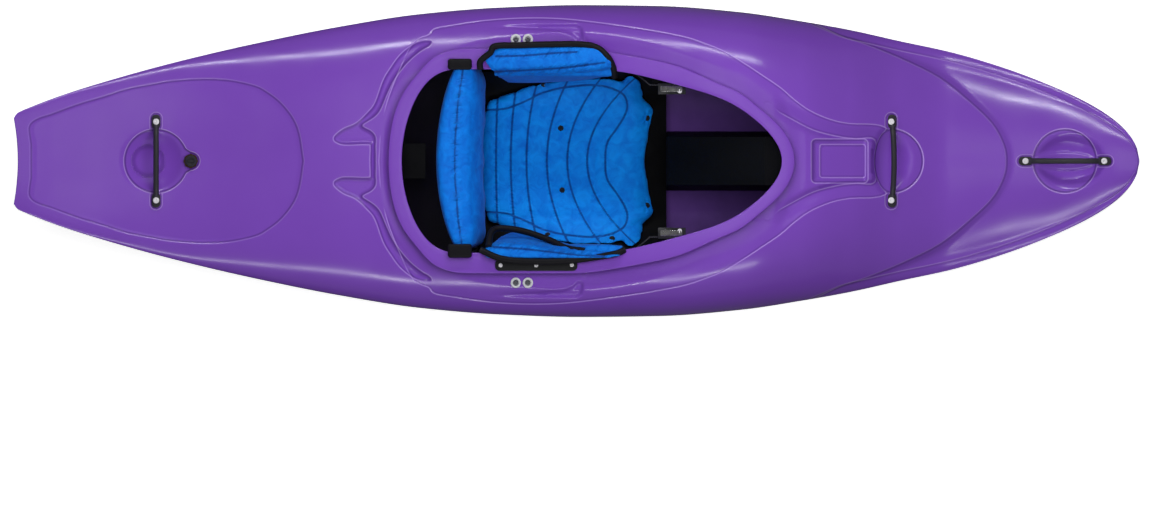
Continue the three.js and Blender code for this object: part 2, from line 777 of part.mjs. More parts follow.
function drainPlug() {
  const stem = turned([
    [0, -drainStemLength],
    [drainThreadRadius, -drainStemLength],
    [drainThreadRadius, 0],
    [drainHeadRadius, 0],
    [drainHeadRadius, drainHeadHeight * 0.7],
    [drainHeadRadius * 0.85, drainHeadHeight],
    [0, drainHeadHeight],
  ], turningSteps);
  const slot = box(
    -drainHeadRadius * 2,
    drainHeadRadius * 2,
    -screwRadius / 2,
    screwRadius / 2,
    drainHeadHeight / 2,
    2 * drainHeadHeight,
  );
  return cut(stem, slot);
}

// Seat pan: a shallow dish whose sides rise in straight strakes to the hangers.
const panStrakes = 4;
const panOutline = [];
for (let i = 0; i <= panStrakes; i++) {
  const t = i / panStrakes;
  panOutline.push([blend(panFlatHalfWidth, panHalfWidth, t), panBaseZ + panSideRise * t * t]);
}

// Height of the pan's lower face, a distance out from the middle.
function panZ(out) {
  if (out <= panFlatHalfWidth) return panBaseZ;
  const place = (out - panFlatHalfWidth) / (panHalfWidth - panFlatHalfWidth);
  const i = Math.min(Math.floor(place * panStrakes), panStrakes - 1);
  const [[y0, z0], [y1, z1]] = [panOutline[i], panOutline[i + 1]];
  return blend(z0, z1, (out - y0) / (y1 - y0));
}

function seatPan() {
  const half = [...panOutline].reverse();
  const lower = [...half.map(([y, z]) => [-y, z]), ...panOutline];
  const ring = [...lower, ...[...lower].reverse().map(([y, z]) => [y, z + panThickness])];
  const dish = loft([seatRear, seatFront + seatLip].map((x) => ring.map(([y, z]) => [x, y, z])), "hollowed");
  const hangers = [1, -1].map((side) => {
    const bracket = loft([hangerRearX, hangerFrontX].map((x) => hangerSection(x, side)), "hollowed");
    return cut(bracket, moved(side > 0 ? hipPads.port : hipPads.starboard, 0, side * gap, 0));
  });
  const holes = [1, -1].flatMap((side) =>
    seatBoltXs.map((x) => {
      const low = seatBoltZ(x, side) - 2 * boltLength;
      return moved(cylinder(screwRadius + holeGap, 3 * boltLength), x, side * seatBoltY, low);
    }),
  );
  return cut(underDeck(join(dish, ...hangers)), ...holes);
}

// One section of a hanger, from the pan's side up behind the hip pad and out to the bolts.
function hangerSection(x, side) {
  const top = deckZ(x, seatBoltY) - wall + overrun / 2;
  const shelf = top - overrun / 2 - panThickness - gap;
  const back = hipPadThickness / 2 - panThickness / 2;
  const hipShares = side > 0 ? portHipShares : starboardHipShares;
  const [low, high] = hipShares.slice(1, 3).map(([out, rise]) => {
    return [(out * openingWidth) / 2 + back, rimZ(x) + rise * hullDepth];
  });
  const foot = [panHalfWidth - panThickness, panBaseZ + panSideRise];
  const reach = seatBoltY + hangerFlange;
  const wallY = high[0] + panThickness;
  const loop = [
    foot,
    low,
    [high[0], Math.min(high[1], shelf - panThickness)],
    [high[0], top],
    [reach, top],
    [reach, shelf],
    [wallY, shelf],
    [wallY, Math.min(high[1], shelf - panThickness)],
    [low[0] + panThickness, low[1]],
    [foot[0] + panThickness, foot[1]],
  ];
  return loop.map(([y, z]) => [x, side * y, z]);
}

// A point of a hip pad's middle line in the section at x, as [distance out, height].
function hipLine(shares, x, t) {
  const points = shares.map(([out, rise]) => new THREE.Vector2((out * openingWidth) / 2, rimZ(x) + rise * hullDepth));
  const point = new THREE.SplineCurve(points).getPoint(t);
  return [point.x, point.y];
}

// Hip pads lean on the hangers, and their upper edge folds out over the rim.
function hipPad(shares, front, side) {
  const bulge = (t) => Math.sqrt(Math.max(1 - Math.abs(2 * t - 1) ** 4, 0));
  const rearAt = curveThrough(hipRearShares);
  const length = front - hipPadRear;
  const middleAt = (u, v) => {
    const rear = hipPadRear + length * rearAt(u);
    const nose = front - length * 0.12 * Math.abs(2 * u - 1) ** 3;
    const x = blend(rear, nose, v);
    const [out, z] = hipLine(shares, x, u);
    return new THREE.Vector3(x, side * out, z);
  };
  const thicknessAt = (u, v) => {
    const folded = 1 - 0.55 * smooth((u - 0.35) / 0.2);
    return hipPadEdge + (hipPadThickness - hipPadEdge) * bulge(u) * bulge(v) * folded;
  };
  return cushion(middleAt, thicknessAt, hipPadSteps, hipPadSteps);
}

const hipPads = {
  port: hipPad(portHipShares, portHipPadFront, 1),
  starboard: hipPad(starboardHipShares, starboardHipPadFront, -1),
};

// Seat pad: flat below on the pan, crowned above, with tufts, sewn channels and a scalloped front.
function seatPad() {
  const planAt = roundCurveThrough(padPlanShares);
  const [stepsU, stepsV] = [22, 14];
  const length = seatFront - seatRear;
  const pointAt = (u, v) => {
    const along = (1 - Math.cos(Math.PI * u)) / 2;
    const across = Math.sin((Math.PI / 2) * (2 * v - 1));
    const half = Math.max(planAt(along), 0.35) * padHalfWidth;
    const scallop = padScallop * (1 - Math.abs(across) ** 2) * smooth((along - 0.6) / 0.4);
    return [seatRear + along * length - scallop, across * half, along, across];
  };
  const crownAt = (x, y, along, across) => {
    const edge = Math.sqrt(Math.max((1 - Math.abs(across) ** 6) * (1 - Math.abs(2 * along - 1) ** 8), 0));
    let height = padEdge + (padThickness - padEdge) * edge;
    for (const share of padChannelShares) {
      const distance = Math.abs(along - share - 0.05 * across * across) / 0.018;
      height -= (padTuft / 2) * Math.max(1 - distance, 0) * edge;
    }
    for (const [tuftAlong, tuftAcross] of tuftShares) {
      const [tx, ty] = [seatRear + tuftAlong * length, tuftAcross * padHalfWidth * 0.8];
      const distance = Math.hypot(x - tx, Math.abs(y) - ty) / tuftRadius;
      height -= padTuft * (1 - smooth(distance));
    }
    return height;
  };
  const grids = [true, false].map((isTop) => {
    const points = [];
    for (let i = 0; i <= stepsU; i++) {
      for (let j = 0; j <= stepsV; j++) {
        const [x, y, along, across] = pointAt(i / stepsU, j / stepsV);
        const base = panZ(Math.abs(y)) + panThickness + softGap;
        points.push([x, y, base + (isTop ? crownAt(x, y, along, across) : 0)]);
      }
    }
    return points;
  });
  return sheetPair(grids[0], grids[1], stepsU, stepsV);
}

// Section of the back band's pad: reach forward as a share of its depth, and height as a share of its own.
const bandSectionShares = [
  [0, 0.0], [0.5, 0.02], [0.86, 0.1], [1.0, 0.3], [0.86, 0.55], [0.66, 0.78], [0.48, 0.92], [0.2, 1.0],
  [-0.1, 0.98], [-0.3, 0.9], [-0.3, 0.5], [-0.12, 0.1],
];

// Back band: its middle line in plan, and its height at a place across, from -1 to 1.
const bandX = (t) => bandMiddleX + bandEndForward * t * t;
const bandTop = (t) => blend(bandMiddleTopZ, bandEndTopZ, t * t);
function bandSection(t, points) {
  return points.map(([forward, z]) => [bandX(t) + forward, t * bandHalfWidth, z]);
}

function backBandPad() {
  const rings = [];
  const steps = 20;
  for (let i = 0; i <= steps; i++) {
    const t = (2 * i) / steps - 1;
    const swell = Math.sqrt(Math.max(1 - Math.abs(t) ** 4, 0));
    const before = bandBottomThickness * blend(0.45, 1, swell) * blend(0.72, 1, swell);
    const sewn = Math.abs((i % 4) - 2) < 1 ? 1 : 0.94;
    const behind = bandTopThickness * 0.8 * swell;
    const height = bandTop(t) - bandBottomZ;
    const ring = bandSectionShares.map(([out, up]) => {
      return [out > 0 ? before * sewn * out : behind * out, bandBottomZ + height * up];
    });
    rings.push(bandSection(t, ring));
  }
  return loft(rings);
}

// Stiff shell behind the band, whose ends turn forward as lugs for the straps.
function backBandShell() {
  const rings = [];
  const steps = 16;
  const behind = -bandTopThickness * 0.24 - softGap;
  for (let i = 0; i <= steps; i++) {
    const t = (2 * i) / steps - 1;
    const [low, high] = [bandBottomZ + bandTopThickness, bandTop(t) - bandTopThickness];
    const [front, back] = [behind, behind - bandShellThickness];
    rings.push(bandSection(t, [[front, low], [front, high], [back, high], [back, low]]));
  }
  const lugs = [1, -1].map((side) => {
    const near = side * (bandHalfWidth + gap);
    const far = side * (bandHalfWidth + gap + bandShellThickness);
    const [y0, y1] = [Math.min(near, far), Math.max(near, far)];
    const rear = bandX(1) + behind - bandShellThickness;
    const plate = box(rear, rear + 2 * strapWidth, y0, y1, strapRearZ - strapWidth, strapRearZ + strapWidth);
    const bridgeY = [side * (bandHalfWidth - bandShellThickness), far].sort((a, b) => a - b);
    const bridge = box(rear, rear + bandShellThickness, ...bridgeY, strapRearZ - strapWidth, strapRearZ + strapWidth);
    return join(plate, bridge);
  });
  return join(loft(rings), ...lugs);
}

// Strap from the back band's lug to the ratchet, on the port side: [x, distance out, height].
const ratchetStrapY = ratchetY - ratchetWall - slideGap - strapThickness / 2;
const lugFaceY = bandHalfWidth + 2 * gap + bandShellThickness + strapThickness / 2;
const ladderRear = ratchetX + ratchetWall;
const strapRoute = [
  [strapRearX, lugFaceY, strapRearZ],
  ...strapShares.map(([along, across, up]) => [
    blend(strapRearX, ratchetX, along),
    blend(strapY, ratchetStrapY, across),
    blend(strapRearZ, ratchetZ, up),
  ]),
  [ladderRear - gap, ratchetStrapY, ratchetZ],
];

// A flat strap that stands on edge, through [x, y, z] points.
function strapAlong(points, steps) {
  const curve = new THREE.CatmullRomCurve3(points.map((p) => new THREE.Vector3(...p)));
  const rings = [];
  for (let i = 0; i <= steps; i++) {
    const point = curve.getPointAt(i / steps);
    const ahead = curve.getTangentAt(i / steps);
    const across = new THREE.Vector3(-ahead.y, ahead.x, 0).normalize().multiplyScalar(strapThickness / 2);
    const [low, high] = [point.z - strapWidth / 2, point.z + strapWidth / 2];
    rings.push([
      [point.x + across.x, point.y + across.y, low],
      [point.x + across.x, point.y + across.y, high],
      [point.x - across.x, point.y - across.y, high],
      [point.x - across.x, point.y - across.y, low],
    ]);
  }
  return loft(rings);
}

function ladderStrap() {
  const [y0, y1] = [ratchetStrapY - strapThickness / 2, ratchetStrapY + strapThickness / 2];
  const [z0, z1] = [ratchetZ - strapWidth / 2, ratchetZ + strapWidth / 2];
  const rung = strapThickness;
  const rungs = [];
  for (let x = ratchetX + ratchetLength + 2 * rung; x < ladderFront - 2 * rung; x += 3 * rung) {
    rungs.push(box(x, x + rung, y0 - rung, y0 + rung / 3, z0 + rung, z1 - rung));
  }
  return cut(box(ladderRear, ladderFront, y0, y1, z0, z1), ...rungs);
}

// Ratchet: a channel with cheeks above and below, a pin across them and a lever on the pin.
const ratchetLow = ratchetZ - ratchetHeight / 2;
const ratchetHigh = ratchetZ + ratchetHeight / 2;
const ratchetPinX = ratchetX + ratchetLength - ratchetPinInset;
const ratchetPinY = ratchetY - ratchetDepth + ratchetKnuckleRadius + gap;

function ratchetBase() {
  const [x0, x1] = [ratchetX, ratchetX + ratchetLength];
  const block = box(x0, x1, ratchetY - ratchetDepth, ratchetY, ratchetLow, ratchetHigh);
  const hollow = box(
    x0 - overrun,
    x1 + overrun,
    ratchetY - ratchetDepth - overrun,
    ratchetY - ratchetWall,
    ratchetLow + ratchetWall,
    ratchetHigh - ratchetWall,
  );
  const drill = cylinder(ratchetPinRadius + holeGap, 2 * ratchetHeight, turningSteps);
  const hole = moved(drill, ratchetPinX, ratchetPinY, ratchetZ - ratchetHeight);
  return cut(block, hollow, hole);
}

function ratchetPin() {
  const half = ratchetHeight / 2 + gap;
  const head = ratchetPinRadius * 1.6;
  const body = turned([
    [0, -half - ratchetPinHead],
    [head, -half - ratchetPinHead],
    [head, -half],
    [ratchetPinRadius, -half],
    [ratchetPinRadius, half],
    [head, half],
    [head, half + ratchetPinHead],
    [0, half + ratchetPinHead],
  ], turningSteps);
  return moved(body, ratchetPinX, ratchetPinY, ratchetZ);
}

function ratchetLever() {
  const length = ratchetLength - ratchetPinInset - ratchetWall;
  const shape = new THREE.Shape();
  shape.absarc(0, 0, ratchetKnuckleRadius, -Math.PI / 2, Math.PI / 2);
  shape.lineTo(-ratchetKnuckleRadius, ratchetKnuckleRadius);
  shape.lineTo(-ratchetKnuckleRadius, -ratchetKnuckleRadius + ratchetLeverThickness);
  shape.lineTo(-length, -ratchetKnuckleRadius + ratchetLeverThickness);
  shape.lineTo(-length, -ratchetKnuckleRadius);
  shape.closePath();
  const hole = new THREE.Path();
  hole.absarc(0, 0, ratchetPinRadius + holeGap, 0, 2 * Math.PI, true);
  shape.holes.push(hole);
  const width = ratchetHeight - 2 * ratchetWall - 2 * slideGap;
  const plate = new THREE.ExtrudeGeometry(shape, { depth: width, bevelEnabled: false, curveSegments: turningSteps });
  return moved(plate, ratchetPinX, ratchetPinY, ratchetZ - width / 2);
}

// Thigh brace: a web beside the ratchet and a flange against the deck's underside.
function thighBrace(side) {
  const near = ratchetY + gap;
  const [web, far] = [near + braceThickness, near + braceReach];
  const rings = [];
  for (let i = 0; i <= braceSteps; i++) {
    const t = i / braceSteps;
    const x = blend(braceRear, braceFront, t);
    const shelf = rimZ(x) - skirtGap - wall - rimUpstand - braceThickness;
    const low = shelf - braceDrop * blend(0.45, 1, Math.sin(Math.PI * t));
    const loop = [[near, low], [near, hullDepth], [far, hullDepth], [far, shelf], [web, shelf], [web, low]];
    rings.push(loop.map(([y, z]) => [x, side * y, z]));
  }
  return underDeck(loft(rings, "hollowed"));
}

// Pillars stand on the floor and reach the deck.
function pillar(rear, front, baseWidth, topWidth, topAt) {
  const rings = [];
  const steps = roundSteps;
  for (let i = 0; i <= steps; i++) {
    const x = blend(rear, front, i / steps);
    const low = floorZ(x) + softGap;
    const high = topAt(x);
    rings.push([[x, -baseWidth / 2, low], [x, baseWidth / 2, low], [x, topWidth / 2, high], [x, -topWidth / 2, high]]);
  }
  const block = loft(rings);
  return underDeck(common(block, moved(cavity, 0, 0, gap)));
}

const frontPillarRear = seatFront + seatLip + gap;
function frontPillar() {
  const meets = openingRear + openingLength;
  const length = meets - frontPillarRear;
  const topAt = (x) => blend(frontPillarRearHeight, hullDepth, Math.min((x - frontPillarRear) / length, 1));
  const body = pillar(frontPillarRear, frontPillarFront, frontPillarBaseWidth, frontPillarTopWidth, topAt);
  const recesses = [1, -1].map((side) => {
    const [near, far] = [side * railSeatY, side * frontPillarBaseWidth].sort((a, b) => a - b);
    return box(railRear - gap, railFront + gap, near, far, railLow - gap, railHigh + gap);
  });
  return cut(body, ...recesses, ...railBoltHoles());
}

function rearPillar() {
  return pillar(rearPillarRear, rearPillarFront, rearPillarWidth, rearPillarWidth, () => hullDepth);
}

// Foot rests: a rail let into each side of the front pillar, and a plate on a shoe that slides along it.
const railSeatY = frontPillarBaseWidth / 2 - railInset;
const railY = railSeatY + gap;
const railLow = railZ - railHeight / 2;
const railHigh = railZ + railHeight / 2;
const railBoltXs = [railRear + railBoltInset, railFront - railBoltInset];

// A round bar across the hull, centred on its middle.
function crossBolt(radius, length) {
  return cylinder(radius, length).translate(0, 0, -length / 2).rotateX(Math.PI / 2);
}

function railBoltHoles() {
  return railBoltXs.map((x) => moved(crossBolt(railBoltRadius + holeGap, 2 * frontPillarBaseWidth), x, 0, railZ));
}

function footRail() {
  return cut(box(railRear, railFront, railY, railY + railThickness, railLow, railHigh), ...railBoltHoles());
}

function railBolt() {
  const half = railY + railThickness + gap;
  const head = 2 * railBoltRadius;
  return turned([
    [0, -half - railBoltRadius],
    [head, -half - railBoltRadius],
    [head, -half],
    [railBoltRadius, -half],
    [railBoltRadius, half],
    [head, half],
    [head, half + railBoltRadius],
    [0, half + railBoltRadius],
  ]).rotateX(Math.PI / 2);
}

const shoeY = railY + railThickness + slideGap;
function footPlate() {
  const [rear, front] = [footPlateX - footShoeLength / 2, footPlateX + footShoeLength / 2];
  const near = frontPillarBaseWidth / 2 + slideGap;
  const [low, high] = [railLow - footShoeThickness, railHigh + footShoeThickness];
  const shoe = box(rear, front, near, shoeY + footShoeThickness, low, high);
  const track = box(rear - overrun, front + overrun, 0, shoeY, railLow - slideGap, railHigh + slideGap);
  const plateRear = footPlateX - footPlateThickness;
  const top = footPlateBottom + footPlateHeight;
  const plate = box(plateRear, footPlateX, shoeY, shoeY + footPlateWidth, footPlateBottom, top);
  return join(cut(shoe, track), plate);
}

function footPad() {
  const rear = footPlateX - footPlateThickness - softGap;
  const inner = shoeY + footShoeThickness + footPadInset;
  const outer = shoeY + footPlateWidth - footPadInset;
  const [low, high] = [footPlateBottom + footPadInset, footPlateBottom + footPlateHeight - footPadInset];
  const middleAt = (u, v) => {
    return new THREE.Vector3(rear - footPadThickness / 2, blend(inner, outer, u), blend(low, high, v));
  };
  const bulge = (t) => Math.sqrt(Math.max(1 - Math.abs(2 * t - 1) ** 4, 0));
  return cushion(middleAt, (u, v) => footPadThickness * blend(0.4, 1, bulge(u) * bulge(v)), 8, 8);
}

// Rim plate: a bar that follows the rim beside the seat, with sunk seats for its screws.
const rimScrewSeat = (x) => rimZ(x) + gap + rimPlateThickness / 2;
function rimPlate(side) {
  const rings = [];
  for (let i = 0; i <= braceSteps; i++) {
    const x = blend(rimPlateRear, rimPlateFront, i / braceSteps);
    const [near, far] = [rimPlateY(x) - rimPlateWidth / 2, rimPlateY(x) + rimPlateWidth / 2];
    const [low, high] = [rimZ(x) - rimThickness / 2, rimZ(x) + gap + rimPlateThickness];
    rings.push([[near, low], [far, low], [far, high], [near, high]].map(([y, z]) => [x, side * y, z]));
  }
  const holes = rimPlateScrewXs.flatMap((x) => [
    moved(cylinder(screwRadius + holeGap, 2 * skirtGap), x, side * rimPlateY(x), rimZ(x) - skirtGap),
    moved(cylinder(screwHeadRadius + holeGap, overrun), x, side * rimPlateY(x), rimScrewSeat(x)),
  ]);
  return cut(loft(rings), moved(rim, 0, 0, gap), ...holes);
}

// Materials
const material = (color, roughness, metalness = 0) =>
  new THREE.MeshStandardMaterial({ color, roughness, metalness, flatShading: true });
const polyethylene = material("#7040a8", 0.42);
const fabric = material("#0f66c4", 0.9);
const foam = material("#17171a", 0.95);
const plastic = material("#1c1c1f", 0.6);
const webbing = material("#141416", 0.85);
const rubber = material("#232325", 0.8);
const steel = material("#c4c6c8", 0.3, 1);
const brass = material("#8f7a48", 0.4, 1);

function piece(name, geometry, finish, parent) {
  const mesh = new THREE.Mesh(geometry, finish);
  mesh.name = name;
  parent.add(mesh);
  return mesh;
}

const kayak = new THREE.Group();
piece("hull_shell", hullShell(), polyethylene, kayak);

const deckFittings = new THREE.Group();
kayak.add(deckFittings);
for (const [name, ends] of Object.entries(handles)) {
  piece(name + "_grab_handle", grabHandle(ends), plastic, deckFittings);
  ends.forEach(([x, y], i) => {
    const fastener = piece(name + "_handle_screw_" + (i + 1), screw(screwLength - gap), steel, deckFittings);
    fastener.position.set(x, y, deckZ(x, y) + handlePadHeight + gap);
  });
}

const drain = new THREE.Group();
kayak.add(drain);
piece("drain_insert", drainInsert(), brass, drain);
piece("drain_gasket", drainGasket(), rubber, drain).position.set(drainX, 0, drainTopZ + gap);
const plugSeatZ = drainTopZ + drainGasketThickness + 2 * gap;
piece("drain_plug", drainPlug(), plastic, drain).position.set(drainX, 0, plugSeatZ);

const seat = new THREE.Group();
kayak.add(seat);
piece("seat_pan", seatPan(), plastic, seat);
piece("seat_pad", seatPad(), fabric, seat);
piece("hip_pad_port", hipPads.port, fabric, seat);
piece("hip_pad_starboard", hipPads.starboard, fabric, seat);

const backRest = new THREE.Group();
kayak.add(backRest);
piece("back_band_pad", backBandPad(), fabric, backRest);
piece("back_band_shell", backBandShell(), plastic, backRest);

const washerHole = moved(cylinder(screwRadius + holeGap, 4 * overrun), 0, 0, -overrun);
const washer = cut(cylinder(washerRadius, washerThickness + overrun), washerHole);
for (const [side, name] of [[1, "port"], [-1, "starboard"]]) {
  const seated = new THREE.Group();
  kayak.add(seated);
  piece("rim_plate_" + name, rimPlate(side), plastic, seated);
  rimPlateScrewXs.forEach((x, i) => {
    const fastener = piece("rim_screw_" + name + "_" + (i + 1), screw(rimScrewLength), steel, seated);
    fastener.position.set(x, side * rimPlateY(x), rimScrewSeat(x) + gap);
  });
  seatBoltXs.forEach((x, i) => {
    const z = seatBoltZ(x, side);
    const ring = onDeck(moved(washer, x, side * seatBoltY, z - overrun));
    piece("seat_washer_" + name + "_" + (i + 1), ring, steel, seated);
    const bolt = piece("seat_bolt_" + name + "_" + (i + 1), screw(boltLength), steel, seated);
    bolt.position.set(x, side * seatBoltY, z + washerThickness + gap);
  });
  piece("thigh_brace_" + name, thighBrace(side), plastic, seated);

  const flank = new THREE.Group();
  flank.scale.y = side;
  kayak.add(flank);
  piece("back_strap_" + name, strapAlong(strapRoute, strapSteps), webbing, flank);
  piece("ladder_strap_" + name, ladderStrap(), plastic, flank);
  piece("ratchet_base_" + name, ratchetBase(), steel, flank);
  piece("ratchet_lever_" + name, ratchetLever(), steel, flank);
  piece("ratchet_pin_" + name, ratchetPin(), steel, flank);
  piece("foot_rail_" + name, footRail(), steel, flank);
  piece("foot_plate_" + name, footPlate(), plastic, flank);
  piece("foot_pad_" + name, footPad(), foam, flank);
}

const pillars = new THREE.Group();
kayak.add(pillars);
piece("front_pillar", frontPillar(), foam, pillars);
piece("rear_pillar", rearPillar(), foam, pillars);
railBoltXs.forEach((x, i) => {
  piece("foot_rail_bolt_" + (i + 1), railBolt(), steel, pillars).position.set(x, 0, railZ);
});

export default kayak;
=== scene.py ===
"""The looks of a purple whitewater kayak with blue outfitting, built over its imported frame."""

import json
import logging
import math
from contextlib import contextmanager
from dataclasses import dataclass
from enum import Enum
from functools import cached_property, partial
from typing import Iterable, Iterator, Optional, Sequence

import bmesh
import bpy
import numpy as np
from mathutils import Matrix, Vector
from mathutils.bvhtree import BVHTree

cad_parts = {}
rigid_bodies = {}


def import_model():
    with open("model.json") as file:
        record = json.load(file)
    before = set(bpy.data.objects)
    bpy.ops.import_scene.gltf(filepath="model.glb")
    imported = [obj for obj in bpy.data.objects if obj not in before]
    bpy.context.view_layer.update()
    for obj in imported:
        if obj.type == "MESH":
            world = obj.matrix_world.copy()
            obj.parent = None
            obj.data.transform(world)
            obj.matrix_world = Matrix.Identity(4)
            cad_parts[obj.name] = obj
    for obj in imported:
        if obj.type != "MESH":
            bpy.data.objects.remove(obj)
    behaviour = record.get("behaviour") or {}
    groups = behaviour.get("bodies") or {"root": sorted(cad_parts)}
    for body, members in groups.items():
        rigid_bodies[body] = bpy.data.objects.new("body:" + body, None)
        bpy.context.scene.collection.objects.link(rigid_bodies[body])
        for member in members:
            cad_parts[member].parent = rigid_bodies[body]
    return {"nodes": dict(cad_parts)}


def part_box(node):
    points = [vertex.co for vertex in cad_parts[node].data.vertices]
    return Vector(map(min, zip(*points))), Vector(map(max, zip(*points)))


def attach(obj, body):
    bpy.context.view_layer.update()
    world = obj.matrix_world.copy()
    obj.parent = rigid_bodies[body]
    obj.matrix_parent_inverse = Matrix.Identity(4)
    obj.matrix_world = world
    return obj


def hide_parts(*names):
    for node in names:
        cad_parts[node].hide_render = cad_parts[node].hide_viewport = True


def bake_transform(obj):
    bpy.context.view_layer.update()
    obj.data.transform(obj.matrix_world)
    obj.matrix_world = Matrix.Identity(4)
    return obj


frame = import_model()
log = logging.getLogger("kayak")

MM = 0.001
TINY = 1e-9
# What a distance reads, in mm, where no sewn line or moulded edge is near.
NO_SEAM = 60.0
NO_EDGE = 50.0
# A wave texture makes this many bands for each unit of its scale.
WAVE_TURN = 3.14
Stops = Sequence[tuple[float, float]]
Setting = object
Piece = bpy.types.Object
Tree = bpy.types.NodeTree
Socket = bpy.types.NodeSocket


class Side(Enum):
    """The two sides of the boat, as the sign of their Y."""

    PORT = 1
    STARBOARD = -1

    @property
    def word(self) -> str:
        """The side's name as the frame's nodes end in it."""
        return self.name.lower()


def curve_through(stops: Stops, at: np.ndarray) -> np.ndarray:
    """Reads a smooth curve that never overshoots its stops.

    Args:
        stops: (place, value) pairs in order.
        at: the places to read.

    Returns:
        The values, held at the ends.
    """
    x, y = (np.array([stop[i] for stop in stops], float) for i in (0, 1))
    rise = np.diff(y) / np.diff(x)
    both = rise[:-1] * rise[1:]
    inner = np.where(both > 0, 2 * both / np.where(both > 0, rise[:-1] + rise[1:], 1), 0)
    slope = np.concatenate(([rise[0]], inner, [rise[-1]]))
    at = np.clip(at, x[0], x[-1])
    i = np.clip(np.searchsorted(x, at, side="right") - 1, 0, len(x) - 2)
    span = x[i + 1] - x[i]
    t = (at - x[i]) / span
    return (
        y[i] * (1 + 2 * t) * (1 - t) ** 2 + slope[i] * span * t * (1 - t) ** 2
        + y[i + 1] * t * t * (3 - 2 * t) + slope[i + 1] * span * t * t * (t - 1)
    )


def round_curve_through(stops: Stops, at: np.ndarray) -> np.ndarray:
    """Reads an outline whose ends are round: the curve through the squares, and its root.

    Args:
        stops: (place, value) pairs in order.
        at: the places to read.

    Returns:
        The values, held at the ends.
    """
    return np.sqrt(np.maximum(curve_through([(x, y * y) for x, y in stops], at), 0))


def ease(t: np.ndarray) -> np.ndarray:
    """Goes from 0 to 1 with soft ends."""
    t = np.clip(t, 0, 1)
    return t * t * (3 - 2 * t)


def faired(loop: np.ndarray, passes: int = 8) -> np.ndarray:
    """Takes the small bumps out of a closed line of points."""
    for _ in range(passes):
        loop = loop / 2 + (np.roll(loop, 1, axis=0) + np.roll(loop, -1, axis=0)) / 4
    return loop


def mirrored(half: Stops) -> np.ndarray:
    """Closes a half outline of (x, y) points above the centreline with its mirror image."""
    upper = np.array(half, float)
    return np.concatenate((upper, upper[::-1] * (1, -1)))


def line_distance(line: np.ndarray, x: np.ndarray, y: np.ndarray) -> np.ndarray:
    """Measures how far points lie from a line of straight stretches.

    Args:
        line: its corners in order, in mm.
        x: the points' x, in mm.
        y: the points' y, in mm.

    Returns:
        The distances in mm.
    """
    least = np.full(x.shape, np.inf)
    for (ax, ay), (bx, by) in zip(line, line[1:]):
        ex, ey = bx - ax, by - ay
        t = np.clip(((x - ax) * ex + (y - ay) * ey) / max(ex * ex + ey * ey, TINY), 0, 1)
        least = np.minimum(least, (x - ax - t * ex) ** 2 + (y - ay - t * ey) ** 2)
    return np.sqrt(least)


def signed_distance(outline: np.ndarray, x: np.ndarray, y: np.ndarray) -> np.ndarray:
    """Measures how far points lie from a closed outline.

    Args:
        outline: the corner points in order, in mm.
        x: the points' x, in mm.
        y: the points' y, in mm.

    Returns:
        The distances in mm, negative inside.
    """
    inside = np.zeros(x.shape, bool)
    for (ax, ay), (bx, by) in zip(outline, np.roll(outline, -1, axis=0)):
        if ay != by:
            inside ^= ((ay > y) != (by > y)) & (x < ax + (y - ay) * (bx - ax) / (by - ay))
    return np.where(inside, -1, 1) * line_distance(np.concatenate((outline, outline[:1])), x, y)


def rounded_path(points: Stops, steps: int = 6) -> np.ndarray:
    """Draws a smooth line through points.

    Args:
        points: the points in order, of any dimension.
        steps: the pieces between two points.

    Returns:
        The line's points, the last included.
    """
    p = np.array(points, float)
    p = np.concatenate(([2 * p[0] - p[1]], p, [2 * p[-1] - p[-2]]))
    t = np.linspace(0, 1, steps, endpoint=False)[:, None]
    spans = [
        0.5 * (2 * b + (c - a) * t + (2 * a - 5 * b + 4 * c - d) * t ** 2 + (3 * b - 3 * c + d - a) * t ** 3)
        for a, b, c, d in zip(p, p[1:], p[2:], p[3:])
    ]
    return np.concatenate((*spans, p[-2:-1]))


def linear(code: str) -> tuple[float, float, float, float]:
    """Turns an sRGB hex colour into the linear one that shaders use."""
    parts = (int(code[i:i + 2], 16) / 255 for i in (1, 3, 5))
    return (*(c / 12.92 if c <= 0.04045 else ((c + 0.055) / 1.055) ** 2.4 for c in parts), 1.0)


def repeats(spacing: float) -> float:
    """Turns the spacing of a pattern in mm into a texture's scale."""
    return 1 / (spacing * MM)


def add_node(
    tree: Tree, kind: str, inputs: dict | tuple = (), output: str = "Fac", **settings: Setting
) -> Optional[Socket]:
    """Adds a node with its settings and links.

    Args:
        tree: the material's node tree.
        kind: the node type's name after ShaderNode.
        inputs: a value, or the socket that feeds it, for each input's name, or for the first inputs in order.
        output: the socket to hand on. A node without one of that name hands on its first.
        **settings: the node's own properties.

    Returns:
        The socket, or nothing from an output node.
    """
    node = tree.nodes.new("ShaderNode" + kind)
    for name, value in settings.items():
        setattr(node, name, value)
    for key, value in inputs.items() if isinstance(inputs, dict) else enumerate(inputs):
        if isinstance(value, Socket):
            tree.links.new(value, node.inputs[key])
        else:
            node.inputs[key].default_value = value
    return node.outputs[output if output in node.outputs else 0] if node.outputs else None


def bare_mesh(name: str, points: np.ndarray, faces: Iterable[Sequence[int]]) -> Piece:
    """Makes an object of points and faces.

    Args:
        name: the piece's name.
        points: the vertices, in mm.
        faces: the vertex numbers of each face.

    Returns:
        The object, at the origin.
    """
    mesh = bpy.data.meshes.new(name)
    mesh.from_pydata((np.asarray(points) * MM).tolist(), [], [list(face) for face in faces])
    mesh.update()
    return linked(name, mesh)


def linked(name: str, data: bpy.types.ID) -> Piece:
    """Puts a mesh, curve, lamp or camera into the scene as an object."""
    thing = bpy.data.objects.new(name, data)
    bpy.context.scene.collection.objects.link(thing)
    return thing


